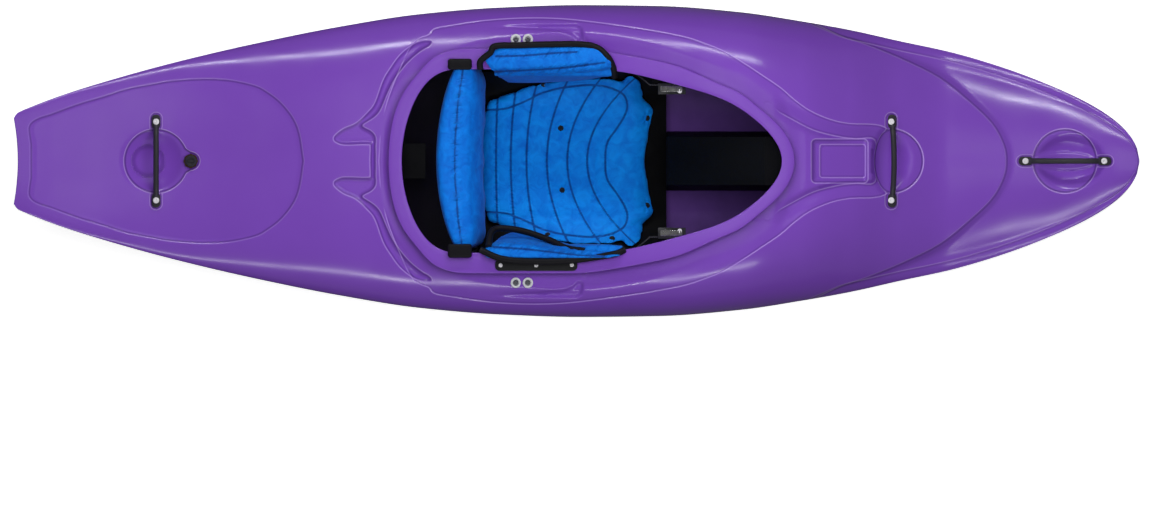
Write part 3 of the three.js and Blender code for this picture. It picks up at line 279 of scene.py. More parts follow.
def ring_faces(rings: int, around: int, looped: bool = False) -> list[tuple[int, int, int, int]]:
    """Numbers the faces between closed rings of points.

    Args:
        rings: how many rings there are.
        around: the points on each.
        looped: the last ring joins the first.

    Returns:
        The faces.
    """
    return [
        (a * around + i, b * around + i, b * around + (i + 1) % around, a * around + (i + 1) % around)
        for a, b in ((r, (r + 1) % rings) for r in range(rings if looped else rings - 1))
        for i in range(around)
    ]


@contextmanager
def edited(piece: Piece) -> Iterator[bmesh.types.BMesh]:
    """Opens a piece's mesh for changes in code, and puts it back."""
    mesh = bmesh.new()
    mesh.from_mesh(piece.data)
    yield mesh
    mesh.to_mesh(piece.data)
    mesh.free()


@contextmanager
def edit_mode(piece: Piece, selected: bool = True) -> Iterator[None]:
    """Opens a piece in edit mode with all or none of it selected, and leaves edit mode again."""
    alone(piece)
    bpy.ops.object.mode_set(mode="EDIT")
    bpy.ops.mesh.select_all(action="SELECT" if selected else "DESELECT")
    yield
    bpy.ops.object.mode_set(mode="OBJECT")


def points_of(piece: Piece, what: str = "co") -> np.ndarray:
    """Reads a piece's points in metres, or its normals, as rows."""
    values = np.empty(len(piece.data.vertices) * 3)
    piece.data.vertices.foreach_get(what, values)
    return values.reshape(-1, 3)


def put_points(piece: Piece, points: np.ndarray) -> None:
    """Moves a piece's points to places in metres."""
    piece.data.vertices.foreach_set("co", points.ravel())
    piece.data.update()


def store(piece: Piece, name: str, values: np.ndarray) -> None:
    """Keeps a number for each point of a piece, for its finish to read."""
    piece.data.attributes.new(name, "FLOAT", "POINT").data.foreach_set("value", values.astype(np.float32))


def alone(*pieces: Piece) -> None:
    """Selects these pieces only, or none, and makes the first of them active."""
    for other in bpy.context.view_layer.objects:
        other.select_set(other in pieces)
    if pieces:
        bpy.context.view_layer.objects.active = pieces[0]


def joined(*pieces: Piece) -> Piece:
    """Joins pieces to the first of them."""
    alone(*pieces)
    bpy.ops.object.join()
    return pieces[0]


def applied(piece: Piece) -> Piece:
    """Applies a piece's modifiers in order."""
    alone(piece)
    for modifier in list(piece.modifiers):
        bpy.ops.object.modifier_apply(modifier=modifier.name)
    return piece


def finished(piece: Piece, angle: float = 40.0) -> Piece:
    """Applies a piece's modifiers and place, and shades it smooth up to an angle in degrees."""
    applied(piece)
    bpy.ops.object.transform_apply(location=True, rotation=True, scale=True)
    bpy.ops.object.shade_smooth_by_angle(angle=math.radians(angle))
    return piece


def ease_edges(piece: Piece, width: float, segments: int = 2, angle: float = 35.0) -> None:
    """Gives a piece a bevel of a width in mm on its edges sharper than an angle in degrees."""
    bevel = piece.modifiers.new("eased", "BEVEL")
    bevel.width, bevel.segments = width * MM, segments
    bevel.limit_method, bevel.angle_limit = "ANGLE", math.radians(angle)


def turned(name: str, foot: Vector, profile: Stops, sides: int) -> Piece:
    """Turns a small round part: a disc extruded upwards through its profile.

    Args:
        name: the piece's name.
        foot: the middle of its lower face, in metres.
        profile: (radius, height) pairs in mm from the foot up.
        sides: the faces round it.

    Returns:
        The part, its edges eased.
    """
    alone()
    radius, height = profile[0][0] * MM, 0.0
    bpy.ops.mesh.primitive_circle_add(vertices=sides, radius=radius, fill_type="NGON", location=tuple(foot))
    part = bpy.context.active_object
    part.name = name
    with edit_mode(part):
        for size, level in profile[1:]:
            if level != height:
                move = (0, 0, (level - height) * MM)
                bpy.ops.mesh.extrude_region_move(TRANSFORM_OT_translate={"value": move})
                middle = (foot.x, foot.y, foot.z + level * MM)
                bpy.ops.transform.resize(value=(size * MM / radius,) * 2 + (1,), center_override=middle)
            else:
                bpy.ops.mesh.inset(thickness=max(radius - size * MM, 0.01 * MM))
            radius, height = size * MM, level
        bpy.ops.mesh.select_all(action="SELECT")
        bpy.ops.mesh.normals_make_consistent(inside=False)
    ease_edges(part, 0.35)
    return finished(part)


def tube(name: str, path: np.ndarray, radius: float) -> Piece:
    """Bends a round tube along a path.

    Args:
        name: the piece's name.
        path: its centreline in mm.
        radius: its radius in mm.

    Returns:
        The tube as a mesh with closed ends.
    """
    line = bpy.data.curves.new(name, "CURVE")
    line.dimensions = "3D"
    line.bevel_depth, line.bevel_resolution, line.use_fill_caps = radius * MM, 5, True
    spline = line.splines.new("POLY")
    spline.points.add(len(path) - 1)
    for point, (x, y, z) in zip(spline.points, np.asarray(path) * MM):
        point.co = (x, y, z, 1)
    alone(linked(name, line))
    bpy.ops.object.convert(target="MESH")
    return finished(bpy.context.active_object, 60)


def rounded_block(name: str, centre: Sequence[float], size: Sequence[float], corner: float, edge: float) -> Piece:
    """Shapes a flat block with round corners, as moulded plates have.

    Args:
        name: the piece's name.
        centre: its middle, in mm.
        size: its length, width and height, in mm.
        corner: the radius of its upright corners, in mm.
        edge: the ease on its other edges, in mm.

    Returns:
        The block.
    """
    alone()
    bpy.ops.mesh.primitive_cube_add(size=1, location=[c * MM for c in centre], scale=[s * MM for s in size])
    block = bpy.context.active_object
    block.name = name
    bpy.ops.object.transform_apply(location=True, rotation=True, scale=True)
    with edit_mode(block, selected=False):
        bpy.ops.mesh.select_mode(type="EDGE")
        shape = bmesh.from_edit_mesh(block.data)
        for line in shape.edges:
            line.select_set(abs(line.verts[0].co.z - line.verts[1].co.z) > 0.5 * size[2] * MM)
        bmesh.update_edit_mesh(block.data)
        bpy.ops.mesh.bevel(offset=corner * MM, segments=6)
    ease_edges(block, edge, 3)
    return finished(block)


def merged_copy(node: str, name: str, gap: float) -> Piece:
    """Copies a solid of the frame and merges its loose triangles' corners.

    Args:
        node: the solid's node.
        name: the new piece's name.
        gap: how far apart corners still merge, in mm.

    Returns:
        The copy.
    """
    piece = linked(name, frame["nodes"][node].data.copy())
    with edit_mode(piece):
        bpy.ops.mesh.remove_doubles(threshold=gap * MM)
    return piece


def copied(node: str, name: str, edge: float, segments: int = 2) -> Piece:
    """Copies a plain solid of the frame and eases its edges.

    Args:
        node: the solid's node.
        name: the new piece's name.
        edge: the ease in mm.
        segments: the faces across each eased edge.

    Returns:
        The copy.
    """
    piece = merged_copy(node, name, 0.01)
    with edit_mode(piece):
        bpy.ops.mesh.dissolve_limited(angle_limit=math.radians(0.5))
    ease_edges(piece, edge, segments, 30)
    return finished(piece, 35)


class Finish:
    """A surface as its maker names it, which turns into a material once."""

    name: str

    def material(self) -> bpy.types.Material:
        """Gives the material, built at its first use."""
        found = bpy.data.materials.get(self.name)
        if found:
            return found
        made = bpy.data.materials.new(self.name)
        made.use_nodes = True
        made.node_tree.nodes.clear()
        add_node(made.node_tree, "OutputMaterial", (self.shade(made.node_tree),))
        return made

    def shade(self, tree: Tree) -> Socket:
        """Builds the nodes and hands on the shader."""
        raise NotImplementedError

    def dress(self, piece: Piece) -> None:
        """Puts the material on a piece in place of what it has."""
        piece.data.materials.clear()
        piece.data.materials.append(self.material())


def fitted(piece: Piece, finish: Finish, body: str, slot: str, *nodes: str) -> Piece:
    """Dresses a finished piece, puts it on its body and hides the nodes it stands for.

    Args:
        piece: the finished piece.
        finish: its surface.
        body: the body it moves with.
        slot: the record's material slot; not used.
        *nodes: the frame's nodes it replaces.

    Returns:
        The piece.
    """
    finish.dress(piece)
    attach(piece, body)
    if nodes:
        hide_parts(*nodes)
    log.info("%s: %d faces", piece.name, len(piece.data.polygons))
    return piece


def head(node: str, foot_z: float, profile: Stops, sides: int, finish: Finish) -> None:
    """Turns what shows of a screw, bolt or washer, in place of its solid.

    Args:
        node: the solid's node.
        foot_z: the height of the head's lower face, in metres.
        profile: (radius, height) pairs in mm.
        sides: the faces round it.
        finish: its surface.
    """
    low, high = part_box(node)
    foot = Vector(((low[0] + high[0]) / 2, (low[1] + high[1]) / 2, foot_z))
    fitted(turned(f"{node}_head", foot, profile, sides), finish, "boat", "steel", node)


@dataclass(frozen=True)
class Polyethylene(Finish):
    """Rotomoulded polyethylene: waxy, softly glossy, with the mould's faint orange peel.

    For each kind of moulded edge, edge_looks gives the piece's attribute that holds the distance to it in mm, how
    far the surface drops on its inner side, in mm, and the strength of its painted highlight line and its painted
    shade line.
    """

    name: str = "rotomoulded_polyethylene"
    colour: str = "#7544b3"
    shade_colour: str = "#6c3da7"
    # Painted highlight colour for the moulded edges' crests, and painted shade colour for their corners.
    edge_colour: str = "#b394de"
    corner_colour: str = "#331c57"
    peel_mm: float = 5.0
    roughness: float = 0.19
    edge_looks: tuple = (
        ("mould_edge", 1.0, 0.22, 0.45), ("mould_ledge", 1.0, 0.5, 0.25), ("mould_recess", 1.2, 0.5, 0.35),
        ("mould_rim_line", 0.8, 0.4, 0.2), ("mould_seam", 0.5, 0.35, 0.35),
    )

    def shade(self, tree: Tree) -> Socket:
        """Drifts of colour, fine peel in the gloss, and a painted highlight on the edges' crests and painted shade
        in their corners.
        """
        add = partial(add_node, tree)
        place = add("TexCoord", output="Object")
        drift = add("TexNoise", {"Vector": place, "Scale": 4.0, "Detail": 3.0, "Roughness": 0.6})
        tone = add("MixRGB", (drift, linear(self.colour), linear(self.shade_colour)))
        peel = add("TexNoise", {"Vector": place, "Scale": repeats(self.peel_mm), "Detail": 2.0})
        swell = add("TexNoise", {"Vector": place, "Scale": 14.0, "Detail": 1.0})
        gloss = add("MapRange", (swell, 0.3, 0.7, self.roughness - 0.03, self.roughness + 0.05))
        height = add("Math", (peel, 0.012), operation="MULTIPLY")
        strong = add("Attribute", attribute_name="mould_strength")
        for name, depth, pale, dark in self.edge_looks:
            far = add("Attribute", attribute_name=name)
            drop = add("MapRange", (far, -1.6, 1.6, -depth, 0.0), interpolation_type="SMOOTHSTEP")
            height = add("Math", (drop, strong, height), operation="MULTIPLY_ADD")
            # Painted light: a pale line on each edge's crest stands in for its highlight, and a dark line in its
            # corner stands in for shade.
            for middle, half, share, colour in (
                (-2.4, 2.6, dark, self.corner_colour), (0.9, 1.9, pale, self.edge_colour),
            ):
                off = add("Math", (far, middle), operation="SUBTRACT")
                gap = add("Math", (off,), operation="ABSOLUTE")
                amount = add("MapRange", (gap, 0.15 * half, half, share, 0.0), interpolation_type="SMOOTHSTEP")
                part = add("Math", (amount, strong), operation="MULTIPLY")
                tone = add("MixRGB", (part, tone, linear(colour)))
        normal = add("Bump", {"Height": height, "Distance": 1.0 * MM, "Strength": 1.0})
        return add("BsdfPrincipled", {"Base Color": tone, "Roughness": gloss, "Normal": normal, "IOR": 1.51})


@dataclass(frozen=True)
class HullLining(Finish):
    """The inside of the moulded hull: the same plastic, unpolished, painted a darker grey-purple for the shade
    inside the hull.
    """

    name: str = "dull_inner_polyethylene"
    # Painted shade: both colours are darker than the outside's plastic, and the aft one is nearly black.
    fore_colour: str = "#54357c"
    aft_colour: str = "#0e0b14"
    dust_colour: str = "#241737"

    def shade(self, tree: Tree) -> Socket:
        """Darkens towards the stern, where the bare wall stands in the deck's shade, over a powdery grain."""
        add = partial(add_node, tree)
        place = add("TexCoord", output="Object")
        along = add("SeparateXYZ", (place,))
        fore = add("MapRange", (along, -0.25, 0.22, 0.0, 1.0), interpolation_type="SMOOTHSTEP")
        grain = add("TexNoise", {"Vector": place, "Scale": 9.0, "Detail": 6.0, "Roughness": 0.65})
        base = add("MixRGB", (fore, linear(self.aft_colour), linear(self.fore_colour)))
        dust = add("MapRange", (grain, 0.35, 0.75, 0.0, 0.35))
        tone = add("MixRGB", (dust, base, linear(self.dust_colour)))
        bump = add("Bump", {"Height": grain, "Distance": 0.6 * MM, "Strength": 0.5})
        return add("BsdfPrincipled", {"Base Color": tone, "Roughness": 0.6, "Normal": bump, "IOR": 1.5})


@dataclass(frozen=True)
class WovenNylon(Finish):
    """Coated nylon cloth: a fine plain weave, drawn tight over foam and puckered at its seams."""

    name: str = "blue_woven_nylon"
    colour: str = "#0879de"
    deep_colour: str = "#065dc2"
    thread_colour: str = "#08357c"
    weave_mm: float = 2.4
    crease_mm: float = 24.0
    crease_depth: float = 1.5
    pucker_reach: float = 18.0
    pucker_depth: float = 3.2
    pleat_size: tuple = (0.036, 0.012, 0.036)
    lean: float = 0.12

    def shade(self, tree: Tree) -> Socket:
        """Creases and pleats with painted shade in their hollows, fading out from the stitching, and a weave drawn
        coarser than real, to show.
        """
        add = partial(add_node, tree)
        place = add("TexCoord", output="Object")
        crease = {"Vector": place, "Scale": repeats(self.crease_mm), "Detail": 5.0, "Roughness": 0.55}
        warp = add("TexNoise", {**crease, "Distortion": 0.9})
        far = add("Attribute", attribute_name="seam_far")
        near = add("MapRange", (far, 0.0, self.pucker_reach, 1.0, 0.0), interpolation_type="SMOOTHSTEP")
        turn = {"Vector": place, "Rotation": (0.0, 0.0, self.lean), "Scale": self.pleat_size}
        lean = add("Mapping", turn, vector_type="TEXTURE")
        pleat = add("TexNoise", {"Vector": lean, "Scale": 1.0, "Detail": 2.0, "Distortion": 0.4})
        fold = add("MapRange", (pleat, 0.38, 0.62, 0.0, 1.0))
        puckers = add("Math", (fold, near), operation="MULTIPLY")
        threads = {"Vector": place, "Scale": repeats(self.weave_mm) / WAVE_TURN}
        weft, ends = (add("TexWave", threads, wave_type="BANDS", bands_direction=way) for way in "XY")
        weave = add("Math", (weft, ends), operation="MULTIPLY")
        high = add("Math", (warp, self.crease_depth), operation="MULTIPLY")
        for layer, depth in ((puckers, self.pucker_depth), (weave, 0.12)):
            high = add("Math", (layer, depth, high), operation="MULTIPLY_ADD")
        bump = add("Bump", {"Height": high, "Distance": 1.0 * MM, "Strength": 1.0})
        # Painted shade: the deeper blue lies in the creases' hollows and the paler one on their crowns.
        fade = add("MapRange", (warp, 0.3, 0.7, 0.0, 1.0))
        tone = add("MixRGB", (fade, linear(self.deep_colour), linear(self.colour)))
        # Painted shade in the pleats' valleys, and along the seams dark thread together with painted shade in the
        # groove it is pulled into.
        valley = add("MapRange", (puckers, 0.5, 1.0, 0.0, 0.4))
        sewn = add("MapRange", (far, 1.0, 3.4, 0.85, 0.0), interpolation_type="SMOOTHSTEP")
        for share in (valley, sewn):
            tone = add("MixRGB", (share, tone, linear(self.thread_colour)))
        return add("BsdfPrincipled", {
            "Base Color": tone, "Roughness": 0.62, "Normal": bump, "IOR": 1.45,
            "Sheen Weight": 0.03, "Sheen Roughness": 0.4, "Specular IOR Level": 0.2,
        })


@dataclass(frozen=True)
class Moulded(Finish):
    """A moulded or cut black part: its colour, gloss and the grain of its surface."""

    name: str = "black_moulded_nylon"
    colour: str = "#0d0e11"
    worn_colour: str = "#26272c"
    grain_mm: float = 2.5
    grain_depth: float = 0.12
    roughness: float = 0.45
    wear: float = 0.5
    shine: float = 0.5

    def shade(self, tree: Tree) -> Socket:
        """A fine grain, with paler worn patches and edges."""
        add = partial(add_node, tree)
        place = add("TexCoord", output="Object")
        grain = add("TexNoise", {"Vector": place, "Scale": repeats(self.grain_mm), "Detail": 3.0})
        patch = add("TexNoise", {"Vector": place, "Scale": 22.0, "Detail": 7.0, "Roughness": 0.7})
        edge = add("NewGeometry", output="Pointiness")
        ridge = add("MapRange", (edge, 0.52, 0.6, 0.0, 0.7))
        worn = add("MapRange", (patch, 0.55, 0.75, 0.0, self.wear))
        most = add("Math", (ridge, worn), operation="MAXIMUM")
        tone = add("MixRGB", (most, linear(self.colour), linear(self.worn_colour)))
        gloss = add("MapRange", (patch, 0.3, 0.7, self.roughness - 0.06, self.roughness + 0.08))
        bump = add("Bump", {"Height": grain, "Distance": self.grain_depth * MM, "Strength": 1.0})
        return add("BsdfPrincipled", {
            "Base Color": tone, "Roughness": gloss, "Normal": bump, "IOR": 1.5, "Specular IOR Level": self.shine,
        })


@dataclass(frozen=True)
class Metal(Finish):
    """A metal part, brushed or turned: bright with fine scratches and duller smears."""

    name: str
    colour: str
    dull_colour: str
    roughness: float
    scratch_mm: float
    metal_share: float = 1.0

    def shade(self, tree: Tree) -> Socket:
        """Scratches that run along the part, with smears in the gloss."""
        add = partial(add_node, tree)
        place = add("TexCoord", output="Object")
        fine = repeats(self.scratch_mm)
        run = add("Mapping", {"Vector": place, "Scale": (0.15 * fine, fine, fine)})
        scratch = add("TexNoise", {"Vector": run, "Scale": 1.0, "Detail": 3.0})
        smear = add("TexNoise", {"Vector": place, "Scale": 120.0, "Detail": 4.0})
        tone = add("MixRGB", (smear, linear(self.colour), linear(self.dull_colour)))
        gloss = add("MapRange", (smear, 0.3, 0.7, self.roughness - 0.08, self.roughness + 0.12))
        bump = add("Bump", {"Height": scratch, "Distance": 0.05 * MM, "Strength": 1.0})
        return add("BsdfPrincipled", {
            "Base Color": tone, "Metallic": self.metal_share, "Roughness": gloss, "Normal": bump,
        })


@dataclass(frozen=True)
class Webbing(Finish):
    """Black nylon webbing: a ribbed weave across the strap, slightly shiny on the ribs."""

    name: str = "black_nylon_webbing"
    colour: str = "#121216"
    rib_colour: str = "#2c2c33"
    rib_mm: float = 3.0

    def shade(self, tree: Tree) -> Socket:
        """Ribs across the strap, drawn coarser than real ones, so that they show."""
        add = partial(add_node, tree)
        place = add("TexCoord", output="Object")
        ribs = {"Vector": place, "Scale": repeats(self.rib_mm) / WAVE_TURN, "Distortion": 1.5, "Detail": 1.0}
        rib = add("TexWave", ribs, wave_type="BANDS", bands_direction="DIAGONAL")
        tone = add("MixRGB", (rib, linear(self.colour), linear(self.rib_colour)))
        bump = add("Bump", {"Height": rib, "Distance": 0.3 * MM, "Strength": 1.0})
        return add("BsdfPrincipled", {
            "Base Color": tone, "Roughness": 0.6, "Normal": bump, "IOR": 1.5, "Sheen Weight": 0.15,
        })


@dataclass(frozen=True)
class PaperSweep(Finish):
    """White paper below the boat: the camera and reflections see it lit, and it throws little light up."""

    name: str = "white_paper_sweep"

    def shade(self, tree: Tree) -> Socket:
        """A glowing sheet that keeps the boat's shadow, and a dim one for the light that bounces."""
        add = partial(add_node, tree)
        sheet = add("BsdfDiffuse", {"Color": linear("#f7f7f7")})
        glow = add("Emission", {"Color": (1, 1, 1, 1), "Strength": 0.74})
        both = add("AddShader", (sheet, glow))
        camera, glossy, through = (
            add("LightPath", output=f"Is {kind} Ray") for kind in ("Camera", "Glossy", "Transmission")
        )
        mirrored_share = add("Math", (glossy, 0.05, through), operation="MULTIPLY_ADD")
        seen = add("Math", (camera, mirrored_share), operation="MAXIMUM")
        dim = add("BsdfDiffuse", {"Color": linear("#303030")})
        return add("MixShader", (seen, dim, both))


# Plain weave under a thin coating: even blue with soft creases.
BAND_CLOTH = WovenNylon()
# The same cloth painted brighter, as painted light against the shade the rim casts on the seat, with short
# puckers.
SEAT_CLOTH = WovenNylon("bright_blue_woven_nylon", "#0a8aea", "#066bd0", pucker_reach=7.0)
# The same cloth gathered into slanted pleats.
HIP_CLOTH = WovenNylon("pleated_blue_woven_nylon", lean=0.9)
# Folded and sewn tape: dull black with a close weave.
PIPING = Moulded("black_bound_edge_fabric", "#08070c", "#18181f", 1.8, 0.25, 0.6, 0.3, 0.25)
# Sawn closed-cell foam: matt black with pores.
FOAM = Moulded("black_closed_cell_foam", "#030304", "#0e0f11", 3.0, 0.5, 0.75, 0.4, 0.12)
# Injection-moulded nylon: half-matt with greyish worn edges.
PLASTIC = Moulded()
# Thermoformed sheet: soft edges and a dull leathery grain.
PAN = Moulded("black_thermoformed_pan", "#050506", "#141518", 2.5, 0.2, 0.6, 0.4, 0.2)
# Moulded rubber: greyed by hands where it's held.
RUBBER = Moulded("black_moulded_rubber", "#1b1a20", "#3c3b44", 2.0, 0.2, 0.5, 0.3)
# A soft moulded ring: fine-grained and dull.
SEAL = Moulded("seal_rubber", "#0e0e10", "#26262a", 1.5, 0.15, 0.6, 0.3)
# Turned and polished screws: mostly diffuse near-white, a painted reflection of the bright room, with a blurred
# gleam.
STEEL = Metal("polished_steel_screws", "#e4e3e8", "#bab8be", 0.42, 0.8, 0.15)
# Turned brass, dulled by water: brown in its hollows.
BRASS = Metal("dulled_turned_brass", "#7d6636", "#3d3220", 0.35, 0.8)
# Pressed sheet steel: bright, with dark smears.
SMEARED_STEEL = Metal("smeared_pressed_steel", "#e6e6e6", "#3a3a3c", 0.22, 2.5)
# Black-plated bolts: grey where the plating is rubbed.
DARK_STEEL = Metal("dark_plated_steel", "#8d8e96", "#4b4c56", 0.3, 1.0, 0.7)
# Moulded washers of undyed nylon: milky and half-matt.
WASHER = Moulded("pale_moulded_washer_nylon", "#c4c6cb", "#f0f0f2", 1.5, 0.1, 0.4, 0.4)
# Ribbed webbing: black, with a slight shine.
WEBBING = Webbing()


@dataclass
class HullLines:
    """The lines of the hull, in mm and in shares of its length, half beam and depth.

    Each station gives its place, half width, keel, chine, seam and ridge, and the two powers of the deck's camber.
    """

    length: float = 2432.0
    beam: float = 674.0
    depth: float = 374.0
    wall: float = 6.0
    opening_rear: float = -378.0
    opening_length: float = 822.0
    opening_width: float = 396.0
    rim_rear: float = -407.0
    rim_length: float = 879.0
    rim_width: float = 486.0
    skirt_gap: float = 26.0
    channel_depth: float = 12.0
    block_front: float = 425.0
    bow_step: float = 6.0
    stern_hollow: float = 9.0
    stern_hollow_reach: float = 90.0
    stern_corner: float = 14.0
    flat_share: float = 0.56
    chine_share: float = 0.84
    stations: tuple = (
        (0, .3, .717, .719, .727, .736, 4, .5), (.015, .346, .679, .684, .702, .72, 4, .5),
        (.041, .417, .607, .617, .65, .671, 4, .5), (.086, .519, .497, .525, .569, .607, 4, .6),
        (.148, .641, .353, .405, .501, .566, 4, .6), (.219, .76, .225, .275, .468, .601, 3.8, .6),
        (.29, .862, .139, .197, .454, .655, 3.4, .58), (.361, .942, .081, .147, .451, .688, 3.6, .52),
        (.432, .984, .05, .118, .468, .76, 4.2, .5), (.503, 1, .023, .101, .486, .86, 4.6, .5),
        (.574, .994, 0, .088, .497, .93, 4.6, .5), (.645, .955, 0, .079, .5, .955, 4, .52),
        (.699, .897, 0, .078, .491, .91, 3, .6), (.743, .84, .012, .094, .462, .802, 2.5, .72),
        (.787, .769, .046, .125, .421, .652, 2.3, .8), (.832, .699, .104, .171, .396, .566, 2.2, .9),
        (.876, .606, .188, .24, .402, .563, 2.2, 1), (.92, .487, .309, .324, .46, .583, 2.2, 1),
        (.956, .365, .434, .447, .517, .618, 2.2, .9), (.983, .231, .561, .57, .595, .665, 2.5, .8),
        (1, 0, .661, .663, .669, .676, 3, .6),
    )
    rim_heights: tuple = (
        (.32, .726), (.354, .735), (.392, .74), (.42, .757), (.459, .795), (.492, .829), (.527, .873),
        (.554, .915), (.587, .957), (.623, .988), (.656, 1), (.682, .99), (.7, .973),
    )
    gutter_edge: tuple = (
        (-426, 0), (-422, 60), (-411, 118), (-395, 165), (-378, 205), (-362, 240), (-350, 257), (-336, 266),
        (-319, 272), (-311, 283), (-298, 288), (-273, 292), (-208, 302), (-122, 308), (-36, 307), (51, 298),
        (137, 286), (224, 270), (267, 257), (310, 240), (353, 216), (396, 188), (440, 158), (470, 132),
        (504, 108), (548, 89), (591, 80), (656, 76), (688, 50), (690, 0),
    )
    block_edge: tuple = (
        (405, 0), (405, 122), (440, 105), (466, 91), (500, 73), (526, 63), (569, 53), (604, 49), (645, 47),
        (648, 0),
    )
    bow_crease: tuple = (
        (1500, 500), (400, 500), (470, 330), (552, 277), (612, 257), (699, 222), (785, 179), (850, 127),
        (898, 80), (922, 36), (928, 0),
    )
    opening: tuple = (
        (0, 0), (.012, .4), (.045, .74), (.085, .93), (.13, 1), (.35, 1), (.556, .985), (.65, .91), (.75, .8),
        (.79, .755), (.86, .645), (.93, .45), (.975, .26), (1, 0),
    )
    rim: tuple = (
        (0, 0), (.01, .36), (.035, .6), (.079, .8), (.106, .92), (.177, 1), (.474, 1), (.54, .97), (.64, .905),
        (.705, .855), (.803, .7), (.87, .6), (.902, .5), (.96, .32), (1, 0),
    )

    def place(self, x: np.ndarray) -> np.ndarray:
        """Turns x in mm into a share of the length from the stern."""
        return x / self.length + 0.5

    def line(self, column: int, x: np.ndarray) -> np.ndarray:
        """Reads one column of the stations along the hull.

        Args:
            column: 1 half width, 2 keel, 3 chine, 4 seam, 5 ridge, or 6 and 7, the camber's powers.
            x: the places, in mm.

        Returns:
            The values, in mm except for the powers.
        """
        stops = [(row[0], row[column]) for row in self.stations]
        if column == 1:
            return round_curve_through(stops, self.place(x)) * self.beam / 2
        return curve_through(stops, self.place(x)) * (self.depth if column < 6 else 1)

    def rim_z(self, x: np.ndarray) -> np.ndarray:
        """Gives the height of the cockpit rim's top at x."""
        return curve_through(self.rim_heights, self.place(x)) * self.depth

    @cached_property
    def outlines(self) -> dict[str, np.ndarray]:
        """Draws the gutter's, the foredeck block's and the bow crease's outlines as closed loops."""
        kinds = {"gutter": self.gutter_edge, "block": self.block_edge, "crease": self.bow_crease}
        return {
            kind: rounded_path((*edge, *((x, -y) for x, y in edge[-2::-1])), 4) for kind, edge in kinds.items()
        }

    def inside(self, kind: str, x: np.ndarray, y: np.ndarray) -> np.ndarray:
        """Measures how far points lie inside one of the outlines, in mm, less than 0 outside it."""
        return -signed_distance(self.outlines[kind], x, y)

    def opening_outline(self, out: float, count: int) -> np.ndarray:
        """Draws the cockpit opening larger than it is.

        Args:
            out: how much larger all round, in mm.
            count: the number of points.

        Returns:
            The points in order.
        """
        along = (1 - np.cos(np.linspace(0, math.pi, count // 2 + 1))) / 2
        x = self.opening_rear + along * self.opening_length
        y = round_curve_through(self.opening, along) * self.opening_width / 2
        line = np.stack((x, y), 1)
        way = np.gradient(line, axis=0)
        side = np.stack((-way[:, 1], way[:, 0]), 1) / np.linalg.norm(way, axis=1)[:, None]
        side[0], side[-1] = (-1, 0), (1, 0)
        line = line + side * out
        line[[0, -1], 1] = 0
        return faired(np.concatenate((line, line[1:-1][::-1] * (1, -1))))

    def deck_z(self, x: np.ndarray, y: np.ndarray) -> np.ndarray:
        """Gives the height of the plain deck, with its platform, channels and bow step.

        Args:
            x: the points' x, in mm.
            y: the points' y, in mm.

        Returns:
            The heights in mm.
        """
        half = np.maximum(self.line(1, x), 1e-6)
        across = np.minimum(np.abs(y) / half, 1)
        seam, ridge = self.line(4, x), self.line(5, x)
        z = seam + (ridge - seam) * np.maximum(1 - across ** self.line(6, x), 0) ** self.line(7, x)
        z = z - self.bow_step * ease(self.inside("crease", x, y) / 14) * ease((1 - across) * 6)
        deep, fore = self.inside("gutter", x, y), ease((x - 6) / 20)
        low = np.minimum(self.rim_z(x) - self.skirt_gap, z)
        z = z + (low - z) * ease(deep / (17 + 33 * fore)) * (x < self.rim_rear + self.rim_length + 30)
        raised = ease(self.inside("block", x, y) / 11) * ease((x - self.block_front) / 30)
        depth = self.channel_depth * (0.15 * fore + 0.85 * ease((x - self.block_front) / 40))
        return z - depth * ease(deep / 34) * (1 - 0.85 * raised)


